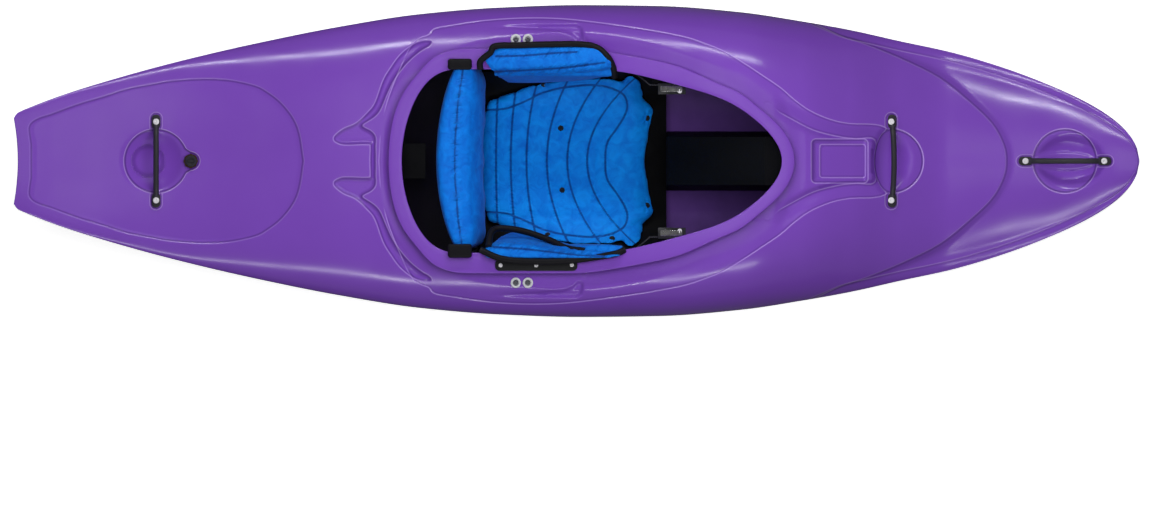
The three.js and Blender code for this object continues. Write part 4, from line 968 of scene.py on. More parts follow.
@dataclass
class DeckMoulding:
    """The pockets, panels and grooves moulded into the deck, in mm.

    Its methods take the places of points on the deck, and a distance that they measure is negative inside.
    """

    lines: HullLines
    pocket_radius: float = 69.0
    pocket_depth: float = 26.0
    handle_xs: tuple = (-908.1, 680.0, 1055.0)
    drain_x: float = -833.1
    drain_radius: float = 19.0
    panel: tuple = (
        (-1178, 0), (-1180, 36), (-1184, 66), (-1182, 78), (-1174, 87), (-1158, 95), (-1135, 102),
        (-1081, 122), (-1025, 139), (-971, 156), (-915, 167), (-871, 174), (-805, 178), (-750, 175),
        (-694, 163), (-666, 148), (-638, 126), (-612, 93), (-598, 58), (-589, 0),
    )
    recess: tuple = (508.0, 629.0, 47.0)
    recess_floor: tuple = (526.0, 623.0, 35.0)
    comet: tuple = (
        (-314, 260), (-333, 259), (-354, 251), (-381, 229), (-403, 199), (-418, 173), (-435, 126), (-451, 105),
        (-476, 82), (-503, 70), (-522, 55), (-524, 45), (-516, 39), (-500, 35), (-451, 36), (-445, 30),
        (-445, -4), (-434, -4), (-434, 32), (-433, 43), (-435, 55), (-444, 65), (-459, 73), (-461, 79),
        (-438, 94), (-424, 110), (-411, 140), (-397, 170), (-381, 194), (-360, 218), (-336, 238), (-319, 248),
        (-313, 256),
    )
    hollow: tuple = (
        (-230, 292), (-80, 294), (0, 294), (11, 289), (14, 277), (14, 262), (2, 261), (-8, 271), (-30, 279),
        (-80, 283), (-230, 288),
    )
    foot_slot: tuple = (12.5, 77.0, 92.0)
    panel_drop: float = 2.5
    recess_drop: float = 6.5
    hollow_drop: float = 9.0
    pocket_ridge: tuple = (69.0, 21.0, 9.0)

    def pockets(self, x: np.ndarray, y: np.ndarray) -> np.ndarray:
        """Measures the way to the edges of the hand pockets, the stern's drawn out to the drain."""
        stern = self.handle_xs[0]
        far = np.min([self.from_pocket(x, y, at) for at in self.handle_xs], axis=0) - self.pocket_radius
        t = np.clip((x - stern) / (self.drain_x - stern), 0, 1)
        drop = np.hypot(x - stern - t * (self.drain_x - stern), y)
        return np.minimum(far, drop - (self.pocket_radius + (self.drain_radius - self.pocket_radius) * t))

    def from_pocket(self, x: np.ndarray, y: np.ndarray, at: float) -> np.ndarray:
        """Measures the way to the middle of the pocket at an x; the middle one is shorter towards the block."""
        along = x - at
        if at == self.handle_xs[1]:
            along = np.where(along < 0, along * 1.9, along)
        return np.hypot(along, y)

    def foot_slots(self, x: np.ndarray, y: np.ndarray) -> np.ndarray:
        """Measures the way to the shallow seats of the handles' feet."""
        radius, low, high = self.foot_slot
        ends = [(np.abs(y), x - at) for at in self.handle_xs[:2]] + [(np.abs(x - self.handle_xs[2]), y)]
        return np.min([np.hypot(t - np.clip(t, low, high), off) for t, off in ends], axis=0) - radius

    def panel_edge(self, x: np.ndarray, y: np.ndarray) -> np.ndarray:
        """Measures the way to the stern panel's outline."""
        return signed_distance(mirrored(rounded_path(self.panel[1:], 4)), x, y)

    @staticmethod
    def round_box(x: np.ndarray, y: np.ndarray, span: tuple, corner: float) -> np.ndarray:
        """Measures the way to a rectangle (rear x, front x, half width) with round corners."""
        aft, fore, half = span
        box = np.stack((np.abs(x - (fore + aft) / 2) - (fore - aft) / 2 + corner, np.abs(y) - half + corner))
        return np.hypot(*np.maximum(box, 0)) + np.minimum(box.max(axis=0), 0) - corner

    def small_recesses(self, x: np.ndarray, y: np.ndarray) -> np.ndarray:
        """Measures the way to the long grooves and the foredeck's shallow tray."""
        grooves = signed_distance(rounded_path((*self.comet, self.comet[0]), 4), x, np.abs(y))
        return np.minimum(self.round_box(x, y, self.recess, 9), grooves)

    def hollows(self, x: np.ndarray, y: np.ndarray) -> np.ndarray:
        """Measures the way to the soft hollows in front of the side platforms."""
        return signed_distance(np.array(self.hollow, float), x, np.abs(y))

    def edges(self, x: np.ndarray, y: np.ndarray) -> np.ndarray:
        """Measures the way to the stern panel's and the bow crease's edges."""
        return np.minimum(-self.lines.inside("crease", x, y), self.panel_edge(x, y))

    def ledges(self, x: np.ndarray, y: np.ndarray) -> np.ndarray:
        """Measures the way to the gutter's edge, the block in it, the pockets and the tray's floor."""
        gutter = np.maximum(-self.lines.inside("gutter", x, y), self.lines.inside("block", x, y))
        return np.min([gutter, self.pockets(x, y), self.round_box(x, y, self.recess_floor, 4)], axis=0)

    def rim_line(self, x: np.ndarray, y: np.ndarray) -> np.ndarray:
        """Measures the way to the thin line that runs inside the bow's outline."""
        inset = -8 + 28 * ease((x - 470) / 130) - 5 * ease((x - 1100) / 90)
        return self.lines.line(1, x) - np.abs(y) - inset

    def height(self, x: np.ndarray, y: np.ndarray) -> np.ndarray:
        """Gives the finished deck's height.

        Args:
            x: the points' x, in mm.
            y: the points' y, in mm.

        Returns:
            The heights in mm.
        """
        z = self.lines.deck_z(x, y)
        z = z - self.panel_drop * ease(-self.panel_edge(x, y) / 7)
        z = z - self.recess_drop * ease(-self.small_recesses(x, y) / 9)
        z = z - self.hollow_drop * ease((3 - self.hollows(x, y)) / 9) * ease((x + 210) / 170)
        by_drain = 3.0 * ease(-self.pockets(x, y) / 8) * ease((x - self.handle_xs[0] - 40) / 40)
        bowl = z - np.where((x > -900) & (x < -780), by_drain, 0)
        ball = (self.pocket_radius ** 2 + self.pocket_depth ** 2) / (2 * self.pocket_depth)
        for at in self.handle_xs:
            away = self.from_pocket(x, y, at)
            deep = np.sqrt(np.maximum(ball ** 2 - away ** 2, 0))
            floor = self.lines.deck_z(np.array([at]), np.array([0.0]))[0] + ball - self.pocket_depth - deep
            gap = bowl - floor
            blended = bowl - (gap + np.sqrt(gap * gap + 9)) / 2
            bowl = np.where(away < self.pocket_radius + 14, blended, bowl)
        length, width, rise = self.pocket_ridge
        ridge = 1 - ((x - self.handle_xs[2]) / length) ** 2 - (y / width) ** 2
        bowl = bowl + rise * np.maximum(ridge, 0) ** 0.5
        return np.where(np.abs(y) < np.maximum(self.lines.line(1, x), 1), bowl, z)


@dataclass
class Hull:
    """The one-piece moulded shell with its deck, opening and raised cockpit rim."""

    lines: HullLines
    moulding: DeckMoulding
    finish: Finish
    deck_points: int = 62
    side_points: int = 11
    outer_stations: int = 430
    inner_stations: int = 150
    rim_points: int = 240
    knee: float = 0.75
    spread: float = 1.16
    cut_above: float = 0.62
    bottom_steps: tuple = (0.06, 0.5, 0.94, 1.0, 1.0, 1.0)
    bottom_shares: tuple = (1, 1, 1, 1, 0.6, 0.3)
    rim_section: tuple = (
        (0, -35, 0), (0, -1.8, 0), (0, -0.5, 0.5), (0, 0, 1.8), (.3, .4, 0), (.5, .5, 0), (.7, .4, 0),
        (1, 0, -1.8), (1, -0.5, -0.5), (1, -1.8, 0), (1, -11, 0), (1, -11, -5), (1, -6.5, -6), (0, -6.5, 7),
        (0, -35, 6),
    )

    def stations_x(self, count: int, stern: float, bow: float) -> np.ndarray:
        """Places the sections along the hull, closer at both tips and closest in the stern's corner.

        Args:
            count: the number of sections without those in the corner.
            stern: the first one's x, in mm.
            bow: the last one's x, in mm.

        Returns:
            The places, in mm.
        """
        t = np.linspace(0, 1, count)
        tips = 0.5 - 0.5 * np.cos(math.pi * t)
        corner = stern + self.lines.stern_corner * (1 - np.cos(np.linspace(0, 1.3, 9)[1:]))
        return np.unique(np.concatenate((stern + (bow - stern) * (0.93 * t + 0.07 * tips), corner)).round(2))

    def sections(self, xs: np.ndarray, fine: bool) -> np.ndarray:
        """Draws sections of the outer skin as closed rings, each from the starboard gunwale over the deck.

        Args:
            xs: where the sections stand, in mm.
            fine: draws all the points, or a third of them.

        Returns:
            The (x, y, z) points in mm of each ring.
        """
        lines = self.lines
        from_stern = xs[:, None] + lines.length / 2
        half, keel, chine, seam = (lines.line(i, xs)[:, None] for i in (1, 2, 3, 4))
        short = np.maximum(lines.stern_corner - from_stern, 0)
        half = half - lines.stern_corner + np.sqrt(np.maximum(lines.stern_corner ** 2 - short ** 2, 0))
        n, m = (self.deck_points, self.side_points) if fine else (self.deck_points // 3, self.side_points // 3 + 1)
        u = np.linspace(-1, 1, 2 * n + 1)
        a = np.abs(u)
        # Past the knee the points crowd towards the gunwale, where the deck rolls over.
        t = np.clip((a - self.knee) / (1 - self.knee), 0, 1)
        bent = self.spread * (1 - t) ** 2 * (self.knee * (1 + 2 * t) + (1 - self.knee) * t) + t * t * (3 - 2 * t)
        y = half * np.sign(u) * np.where(a < self.knee, self.spread * a, bent)
        z = self.moulding.height(np.repeat(xs, len(u)), y.ravel()).reshape(y.shape)
        z[:, [0, -1]] = seam
        turn = np.linspace(0, math.pi / 3, m + 1)[1:]
        inner, flat = lines.chine_share * half, lines.flat_share * half
        side_y = inner + (half - inner) * (np.cos(turn) - 0.5) / 0.5
        side_z = seam - (seam - chine) * np.sin(turn) / math.sin(math.pi / 3)
        down = np.array(self.bottom_steps)
        low_y = np.where(down < 1, inner + (flat - inner) * down, flat * np.array(self.bottom_shares))
        low_z = chine + (keel - chine) * down
        ring_y = np.hstack((y, side_y, low_y, 0 * half, -low_y[:, ::-1], -side_y[:, ::-1]))
        ring_z = np.hstack((z, side_z, low_z, keel, low_z[:, ::-1], side_z[:, ::-1]))
        hollow = lines.stern_hollow * ease(1 - from_stern / lines.stern_hollow_reach)
        ring_x = xs[:, None] + hollow * (1 - (ring_y / np.maximum(half, 1)) ** 2)
        return np.stack((ring_x, ring_y, ring_z), 2)

    def skin(self, name: str, rings: list[np.ndarray], outward: bool) -> Piece:
        """Joins rings into a skin and closes its two ends.

        Args:
            name: the piece's name.
            rings: the sections from stern to bow.
            outward: the faces look out of the hull.

        Returns:
            The skin.
        """
        around = len(rings[0])
        faces = ring_faces(len(rings), around)
        faces += self.end_faces(rings[0]) + [tuple(range((len(rings) - 1) * around, len(rings) * around))[::-1]]
        return bare_mesh(name, np.concatenate(rings), faces if outward else [face[::-1] for face in faces])

    def end_faces(self, ring: np.ndarray) -> list[tuple[int, int, int]]:
        """Closes the stern's hollow end by a strip of faces between its upper and its lower edge.

        Args:
            ring: the last section, whose first points are the deck's, from starboard to port.

        Returns:
            The triangles.
        """
        deck = int(np.argmax(ring[:, 1]))
        upper, lower = list(range(deck + 1)), [0, *range(len(ring) - 1, deck - 1, -1)]
        faces, i, j = [], 0, 0
        while i < len(upper) - 1 or j < len(lower) - 1:
            rise = j == len(lower) - 1 or (i < len(upper) - 1 and ring[upper[i + 1], 1] <= ring[lower[j + 1], 1])
            third = upper[i + 1] if rise else lower[j + 1]
            face = (upper[i], third, lower[j])
            i, j = (i + 1, j) if rise else (i, j + 1)
            if len(set(face)) == 3:
                faces.append(face)
        return faces

    def cut_opening(self, piece: Piece) -> None:
        """Opens the cockpit in a skin and lays the cut's edge inside the rim's wall."""
        outline = self.lines.opening_outline(3.0, self.rim_points)
        with edited(piece) as mesh:
            faces = list(mesh.faces)
            middles = np.array([face.calc_center_median() for face in faces]) / MM
            inside = signed_distance(outline[::2], middles[:, 0], middles[:, 1]) < 0
            above = middles[:, 2] > self.cut_above * self.lines.rim_z(middles[:, 0])
            bmesh.ops.delete(mesh, geom=[faces[i] for i in np.flatnonzero(inside & above)], context="FACES")
            for vertex in mesh.verts:
                if vertex.is_boundary:
                    gaps = np.hypot(*(outline - np.array(vertex.co[:2]) / MM).T)
                    vertex.co.x, vertex.co.y = outline[int(gaps.argmin())] * MM

    def outer_skin(self) -> Piece:
        """Models the outer skin, with its stern end rounded by two smaller rings."""
        ends = self.lines.length / 2
        rings = list(self.sections(self.stations_x(self.outer_stations, -ends + 1.4, ends - 0.05), True))
        first = rings[0]
        middle = first[:, 2].mean()
        for back, flat in ((0.7, 0.85), (1.4, 0.35)):
            ring = first - (back, 0, 0)
            ring[:, 2] = middle + (ring[:, 2] - middle) * flat
            rings.insert(0, ring)
        skin = self.skin("hull_skin", rings, True)
        self.refine(skin)
        return skin

    def inner_skin(self) -> Piece:
        """Models the lining, which stands inside the outer skin by the wall's thickness."""
        lines = self.lines
        xs = self.stations_x(self.inner_stations, -lines.length / 2 + 150, lines.length / 2 - 60)
        inner = self.sections(xs, False)
        half, keel, seam = (lines.line(i, xs)[:, None] for i in (1, 2, 4))
        inner[:, :, 1] *= (half - lines.wall) / half
        lift = lines.wall * (2 * (seam - inner[:, :, 2]) / (seam - keel) - 1)
        lift[:, :2 * (self.deck_points // 3) + 1] = -1.5 * lines.wall
        inner[:, :, 2] += lift
        return self.skin("hull_lining", list(inner), False)

    def shell(self) -> Piece:
        """Cuts the opening in both skins and joins them round it."""
        skin, lining = self.outer_skin(), self.inner_skin()
        for part in (skin, lining):
            self.cut_opening(part)
            mark = part.data.attributes.new("lining", "BOOLEAN", "FACE")
            mark.data.foreach_set("value", np.full(len(part.data.polygons), part is lining))
        joined(skin, lining)
        with edited(skin) as mesh:
            bmesh.ops.remove_doubles(mesh, verts=mesh.verts, dist=0.02 * MM)
            bmesh.ops.bridge_loops(mesh, edges=[edge for edge in mesh.edges if edge.is_boundary])
            bmesh.ops.recalc_face_normals(mesh, faces=mesh.faces)
        return skin

    def refine(self, skin: Piece) -> None:
        """Halves the deck's faces along the small grooves, and moulds the new points."""
        with edited(skin) as mesh:
            faces = list(mesh.faces)
            x, y, z = np.array([face.calc_center_median() for face in faces]).T / MM
            small = np.minimum(np.abs(self.moulding.small_recesses(x, y)), np.abs(self.moulding.hollows(x, y)))
            close = (z > self.lines.line(4, x) + 2) & (small < 11)
            edges = {edge for i in np.flatnonzero(close) for edge in faces[i].edges}
            new = bmesh.ops.subdivide_edges(mesh, edges=list(edges), cuts=1, use_grid_fill=True)["geom_inner"]
            points = [item for item in new if isinstance(item, bmesh.types.BMVert)]
            x, y, _ = np.array([point.co for point in points]).T / MM
            for point, level in zip(points, self.moulding.height(x, y)):
                point.co.z = level * MM

    def mark_edges(self, piece: Piece) -> None:
        """Stores on each point how far it lies from the moulded edges, in mm, for the finish to read."""
        x, y, z = points_of(piece).T / MM
        moulding = self.moulding
        seam = z - self.lines.line(4, x)
        recess = np.min([moulding.pockets(x, y), moulding.small_recesses(x, y), moulding.foot_slots(x, y)], axis=0)
        for name, far in (
            ("mould_edge", moulding.edges(x, y)), ("mould_ledge", moulding.ledges(x, y)),
            ("mould_recess", recess), ("mould_rim_line", moulding.rim_line(x, y)),
        ):
            store(piece, name, np.where(seam < -1, NO_EDGE, far))
        seam = np.where(seam > 0, np.hypot(np.maximum(self.lines.line(1, x) - np.abs(y), 0), seam), seam)
        store(piece, "mould_seam", seam)
        behind = np.where(x < -540, 1, ease((x + 372) / 30))
        groove = np.maximum(ease((12 - np.abs(recess)) / 6), ease((8 - np.abs(seam)) / 4))
        fade = 1 - ease((455 - x) / 30) * ease((134 - np.abs(y)) / 10) * (x > 380)
        store(piece, "mould_strength", np.maximum(behind, groove) * fade)

    def line_inside(self, piece: Piece) -> None:
        """Gives the faces that came from the lining the inner finish, with its painted shade."""
        piece.data.materials.append(HullLining().material())
        lining = np.empty(len(piece.data.polygons), bool)
        piece.data.attributes["lining"].data.foreach_get("value", lining)
        piece.data.polygons.foreach_set("material_index", lining.astype(np.int32))

    def cockpit_rim(self) -> Piece:
        """Models the rim as one swept section: its crowned top, rolled outer lip and inner skirt."""
        lines = self.lines
        turn = np.linspace(0, 2 * math.pi, self.rim_points, endpoint=False)
        along, sign = (1 - np.cos(turn)) / 2, np.where(turn <= math.pi, 1, -1)
        inner, outer = (
            faired(np.stack((rear + along * length, sign * round_curve_through(shape, along) * width / 2), 1))
            for rear, length, width, shape in (
                (lines.opening_rear, lines.opening_length, lines.opening_width, lines.opening),
                (lines.rim_rear, lines.rim_length, lines.rim_width, lines.rim),
            )
        )
        width = np.linalg.norm(outer - inner, axis=1)
        way = (outer - inner) / width[:, None]
        rings = []
        for share, rise, out in self.rim_section:
            flat = inner + way * (width * share + out)[:, None]
            rings.append(np.column_stack((flat, lines.rim_z(flat[:, 0]) + rise)))
        faces = ring_faces(self.rim_points, len(rings), looped=True)
        rim = bare_mesh("cockpit_rim", np.stack(rings, 1).reshape(-1, 3), faces)
        with edited(rim) as mesh:
            bmesh.ops.recalc_face_normals(mesh, faces=mesh.faces)
        return finished(rim, 50)

    def build(self) -> None:
        """Builds the hull's pieces and puts them on the boat."""
        shell = finished(self.shell(), 60)
        self.mark_edges(shell)
        for piece in (shell, self.cockpit_rim()):
            fitted(piece, self.finish, "boat", "hull_plastic", "hull_shell")
        self.line_inside(shell)


@dataclass
class Cushion:
    """A cloth-covered foam pad grown from the solid that stands for it, in mm."""

    node: str
    body: str
    voxel: float = 5.0
    shrink: float = 1.5
    pressure: float = 4.0
    steps: int = 20
    cap: float = 6.0
    groove: float = 2.2
    groove_width: float = 4.5
    rest_slope: float = -0.2
    cloth: Finish = BAND_CLOTH

    def seam_distance(self, points: np.ndarray) -> np.ndarray:
        """Measures how far points, in mm, lie from the nearest sewn line."""
        return np.full(len(points), NO_SEAM)

    def reshape(self, points: np.ndarray) -> np.ndarray:
        """Moves the blank's points, in mm, before it is puffed up."""
        return points

    def held(self, points: np.ndarray, normals: np.ndarray) -> np.ndarray:
        """Says which points the filling can't push out: the sewn lines and the side that rests on something."""
        return (self.seam_distance(points) < 4) | (normals[:, 2] < self.rest_slope)

    def blank(self, name: str) -> Piece:
        """Copies the solid, remeshes it evenly and draws it in to leave room for the filling."""
        piece = merged_copy(self.node, name, 0.02)
        even = piece.modifiers.new("even", "REMESH")
        even.mode, even.voxel_size = "VOXEL", self.voxel * MM
        soft = piece.modifiers.new("soft", "SMOOTH")
        soft.factor, soft.iterations = 0.5, 4
        applied(piece)
        points = points_of(piece) - points_of(piece, "normal") * self.shrink * MM
        put_points(piece, self.reshape(points / MM) * MM)
        return piece

    def puff(self, piece: Piece) -> None:
        """Fills the pad by a cloth simulation, with its sewn lines held."""
        before = points_of(piece)
        held = self.held(before / MM, points_of(piece, "normal"))
        group = piece.vertex_groups.new(name="sewn")
        group.add([int(i) for i in np.flatnonzero(held)], 1.0, "REPLACE")
        cloth = piece.modifiers.new("filling", "CLOTH")
        cloth.settings.vertex_group_mass = "sewn"
        cloth.settings.use_pressure = True
        cloth.settings.uniform_pressure_force = self.pressure
        cloth.settings.effector_weights.gravity = 0
        cloth.settings.quality = 4
        for number in range(1, self.steps + 1):
            bpy.context.scene.frame_set(number)
        move = points_of(piece.evaluated_get(bpy.context.evaluated_depsgraph_get())) - before
        piece.modifiers.remove(cloth)
        bpy.context.scene.frame_set(1)
        size = np.linalg.norm(move, axis=1)[:, None]
        put_points(piece, before + move * np.minimum(1, self.cap * MM / np.maximum(size, TINY)))
        piece.vertex_groups.clear()

    def sew(self, piece: Piece) -> None:
        """Subdivides the pad once, pulls its sewn lines in and stores how far each point lies from them."""
        finer = piece.modifiers.new("finer", "SUBSURF")
        finer.levels = finer.render_levels = 1
        points = points_of(applied(piece))
        far = self.seam_distance(points / MM)
        pull = self.groove * MM * np.exp(-(far / self.groove_width) ** 2)
        put_points(piece, points - points_of(piece, "normal") * pull[:, None])
        store(piece, "seam_far", far)
        piece.data.shade_smooth()

    def build(self, name: str) -> Piece:
        """Args:
            name: the piece's name.

        Returns:
            The finished pad.
        """
        piece = self.blank(name)
        self.puff(piece)
        self.sew(piece)
        fitted(piece, self.cloth, self.body, "blue_fabric", self.node)
        return piece


@dataclass
class SeatPad(Cushion):
    """The quilted seat cover with its scalloped front, curved channels and snap buttons."""

    node: str = "seat_pad"
    body: str = "boat"
    cloth: Finish = SEAT_CLOTH
    channels: tuple = (
        (-174, 4), (-142, 10), (-108, 18), (-64, 34), (-20, 52), (23, 74),
    )
    wing: tuple = (
        (62, 0), (63, 24), (69, 45), (86, 69), (104, 98), (110, 121), (101, 143), (73, 157), (38, 163),
        (-1, 161), (-43, 155), (-78, 145), (-104, 132), (-130, 121), (-156, 113), (-205, 110),
    )
    sides: tuple = (
        (-208, 130, 132), (-150, 134, 148), (-100, 137, 166), (0, 139, 183), (50, 147, 186), (80, 158, 186),
        (110, 181, 186), (172, 181, 184),
    )
    pan_wall: tuple = (
        (0, 39), (120, 39), (130, 42), (140, 45), (150, 53), (160, 62), (170, 75), (180, 90), (190, 108),
    )
    buttons: tuple = (
        (-71, 166), (-34, 71), (-31, -63), (-62, -160), (152, 93), (152, -96), (77, -168),
    )
    snap: tuple = ((6.4, 0), (6.4, 1.6), (4.8, 2.8), (2.6, 2.4), (1.4, 3.2))

    def reshape(self, points: np.ndarray) -> np.ndarray:
        """Draws the cover up the pan's side walls, and gives its front edge two round lobes.

        Args:
            points: the blank's points, in mm.

        Returns:
            Where they go, in mm.
        """
        x, y, z = points.T
        before = np.abs(y)
        at, low, high = np.array(self.sides, float).T
        low, high = np.interp(x, at, low), np.interp(x, at, high)
        after = np.where(before > 90, 90 + (before - 90) * (high - 90) / (low - 90), before)
        wall = np.array(self.pan_wall, float).T
        z = z + np.interp(after, *wall) - np.interp(before, *wall)
        back = 5 * np.exp(-(after / 34) ** 2) + 32 * ease((after - 108) / 34)
        x = x + (6 - back) * ease((x - 60) / 110)
        return np.column_stack((x, after * np.sign(y), z))

    def seam_distance(self, points: np.ndarray) -> np.ndarray:
        """Measures the way to the curved channels and the wing-shaped outline on the upper side."""
        x, y = points[:, 0], points[:, 1]
        channels = [np.abs(x - at - bend * (y / 150) ** 2) for at, bend in self.channels]
        wing = line_distance(rounded_path(self.wing, 5), x, np.abs(y))
        return np.minimum(np.min([wing, *channels], axis=0), NO_SEAM)

    def button_pull(self, points: np.ndarray) -> np.ndarray:
        """Gives how far the snap buttons pull each point down, in mm, with seven small folds round each."""
        pull = np.zeros(len(points))
        for x, y in self.buttons:
            far = np.hypot(points[:, 0] - x, points[:, 1] - y)
            folds = 1 + np.cos(7 * np.arctan2(points[:, 1] - y, points[:, 0] - x))
            pull += 5.0 * np.exp(-(far / 9) ** 2) + 1.3 * np.exp(-(far / 24) ** 2) * folds * (far > 5)
        return pull

    def build(self, name: str) -> Piece:
        """Makes the pad and presses in its buttons.

        Args:
            name: the piece's name.

        Returns:
            The finished pad.
        """
        piece = super().build(name)
        points = points_of(piece)
        up = points_of(piece, "normal")[:, 2] > 0.3
        points[:, 2] -= np.where(up, self.button_pull(points / MM), 0) * MM
        put_points(piece, points)
        surface = Surface(piece)
        for number, (x, y) in enumerate(self.buttons, 1):
            foot = surface.below(x, y) - Vector((0, 0, 1.0 * MM))
            fitted(turned(f"seat_snap_{number}", foot, self.snap, 20), PLASTIC, self.body, "black_plastic")
        return piece


class Surface:
    """A piece's surface, to set other pieces down on. Places are asked for in mm and given in metres."""

    def __init__(self, piece: Piece) -> None:
        """Reads the mesh of a piece that stands at the origin."""
        mesh = piece.data
        points = [vertex.co.copy() for vertex in mesh.vertices]
        self.tree = BVHTree.FromPolygons(points, [tuple(face.vertices) for face in mesh.polygons])

    def below(self, x: float, y: float, start: float = 900.0) -> Vector:
        """Finds the first point under (x, y, start), or else the nearest one to it."""
        hit = self.tree.ray_cast(Vector((x, y, start)) * MM, Vector((0, 0, -1)))[0]
        return hit if hit is not None else self.nearest(x, y, start)

    def nearest(self, x: float, y: float, z: float) -> Vector:
        """Finds the surface point nearest to a place."""
        return self.tree.find_nearest(Vector((x, y, z)) * MM)[0]


@dataclass
class BackBand(Cushion):
    """The padded back band: a fat roll of cloth with a gathered seam along it and black end caps."""

    node: str = "back_band_pad"
    body: str = "back_band"
    voxel: float = 6.0
    cap: float = 7.0
    groove: float = 2.6
    cap_from: tuple = (205.0, 187.0)
    flap_to: tuple = (221.0, 209.0)
    flap_at: tuple = (-252.0, 294.5)
    port_reach: float = 1.09
    held_below: float = 128.0

    def reshape(self, points: np.ndarray) -> np.ndarray:
        """Lets the cover wrap round the stiff shell behind the foam."""
        middle = -232 + 14 * (points[:, 1] / 190) ** 2
        behind = ease((middle - points[:, 0]) / 26)
        points[:, 0] -= 34 * behind * (1 - 0.5 * (points[:, 1] / 200) ** 2)
        points[:, 1] *= (1 + 0.02 * behind) * np.where(points[:, 1] > 0, self.port_reach, 1)
        return points

    def held(self, points: np.ndarray, normals: np.ndarray) -> np.ndarray:
        """Holds the gathered seam and the lower edge."""
        return (self.seam_distance(points) < 4) | (points[:, 2] < self.held_below)

    def seam_distance(self, points: np.ndarray) -> np.ndarray:
        """Measures the way to the seam along the top and to the ends' bindings."""
        x, y, z = points.T
        along = np.where(z > 200, np.abs(x + 262 - 16 * (y / 190) ** 2), NO_SEAM)
        port, starboard = self.cap_from
        return np.min([along, np.abs(y - port), np.abs(y + starboard), np.full(len(points), NO_SEAM)], axis=0)

    def build(self, name: str) -> Piece:
        """Makes the band, with black cloth and stiff flaps on its ends, in place of its foam and shell.

        Args:
            name: the piece's name.

        Returns:
            The finished band.
        """
        piece = super().build(name)
        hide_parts("back_band_pad", "back_band_shell")
        piece.data.materials.append(PIPING.material())
        for face in piece.data.polygons:
            if not -self.cap_from[1] * MM < face.center.y < self.cap_from[0] * MM:
                face.material_index = 1
        x, z = self.flap_at
        for side, begin, reach in zip(Side, self.cap_from, self.flap_to):
            begin -= 8
            centre = (x, (begin + reach) / 2 * side.value, z)
            flap = rounded_block(f"back_band_end_{side.word}", centre, (52, reach - begin, 15), 6, 5)
            fitted(flap, PIPING, self.body, "black_webbing")
        return piece


@dataclass
class HipPad(Cushion):
    """A hip pad that hangs over the rim, with a black bound edge and sewn lines inside it.

    Its paths give the edge's and the lining's bindings, the sewn lines and the inner edge as (x, distance from
    the middle of the boat), with a height where the pad is to be looked for there.
    """

    side: Side = Side.PORT
    cloth: Finish = HIP_CLOTH
    rest_slope: float = -0.3
    edge: tuple = ()
    lining: tuple = ()
    seams: tuple = ()
    inner: tuple = ()
    outer_from: float = 228.0
    outer_kept: tuple = (0.45, 0.35)
    solid_inner: float = 147.0
    wall_at: float = 184.0
    rim_outside: float = 216.0
    bead: float = 7.0

    def reshape(self, points: np.ndarray) -> np.ndarray:
        """Draws the outer edge in for its binding and the inner edge to its line, and clears the rim's wall.

        Args:
            points: the blank's points, in mm.

        Returns:
            The same points, moved.
        """
        x, y, z = points[:, 0], points[:, 1] * self.side.value, points[:, 2]
        limit, (aft, fore) = self.outer_from, self.outer_kept
        y = np.where(y > limit, limit + (y - limit) * (aft + fore * ease((x + 180) / 25)), y)
        inner = np.interp(x, *np.array(self.inner, float).T)
        y = np.where(y < limit, limit - (limit - y) * (limit - inner) / (limit - self.solid_inner), y)
        below_rim = (z < 313.5 + 0.19 * x) & (y < self.rim_outside)
        points[:, 1] = np.where(below_rim, np.minimum(y, self.wall_at), y) * self.side.value
        return points

    def seam_distance(self, points: np.ndarray) -> np.ndarray:
        """Measures the way to the sewn lines, as seen from above."""
        y = points[:, 1] * self.side.value
        ways = [line_distance(rounded_path(seam, 5), points[:, 0], y) for seam in self.seams]
        return np.minimum(np.min(ways, axis=0), NO_SEAM)

    def build(self, name: str) -> Piece:
        """Makes the pad and binds its edges.

        Args:
            name: the piece's name.

        Returns:
            The finished pad.
        """
        piece = super().build(name)
        surface = Surface(piece)
        for number, path in enumerate((self.edge, self.lining), 1):
            spots = []
            for x, y, z in path:
                y *= self.side.value
                spots.append((x, y, surface.nearest(x, y, z)[2] / MM + 1))
            if spots:
                bead = tube(f"{name}_binding_{number}", rounded_path(spots, 6), self.bead)
                fitted(bead, PIPING, self.body, "black_webbing")
        return piece


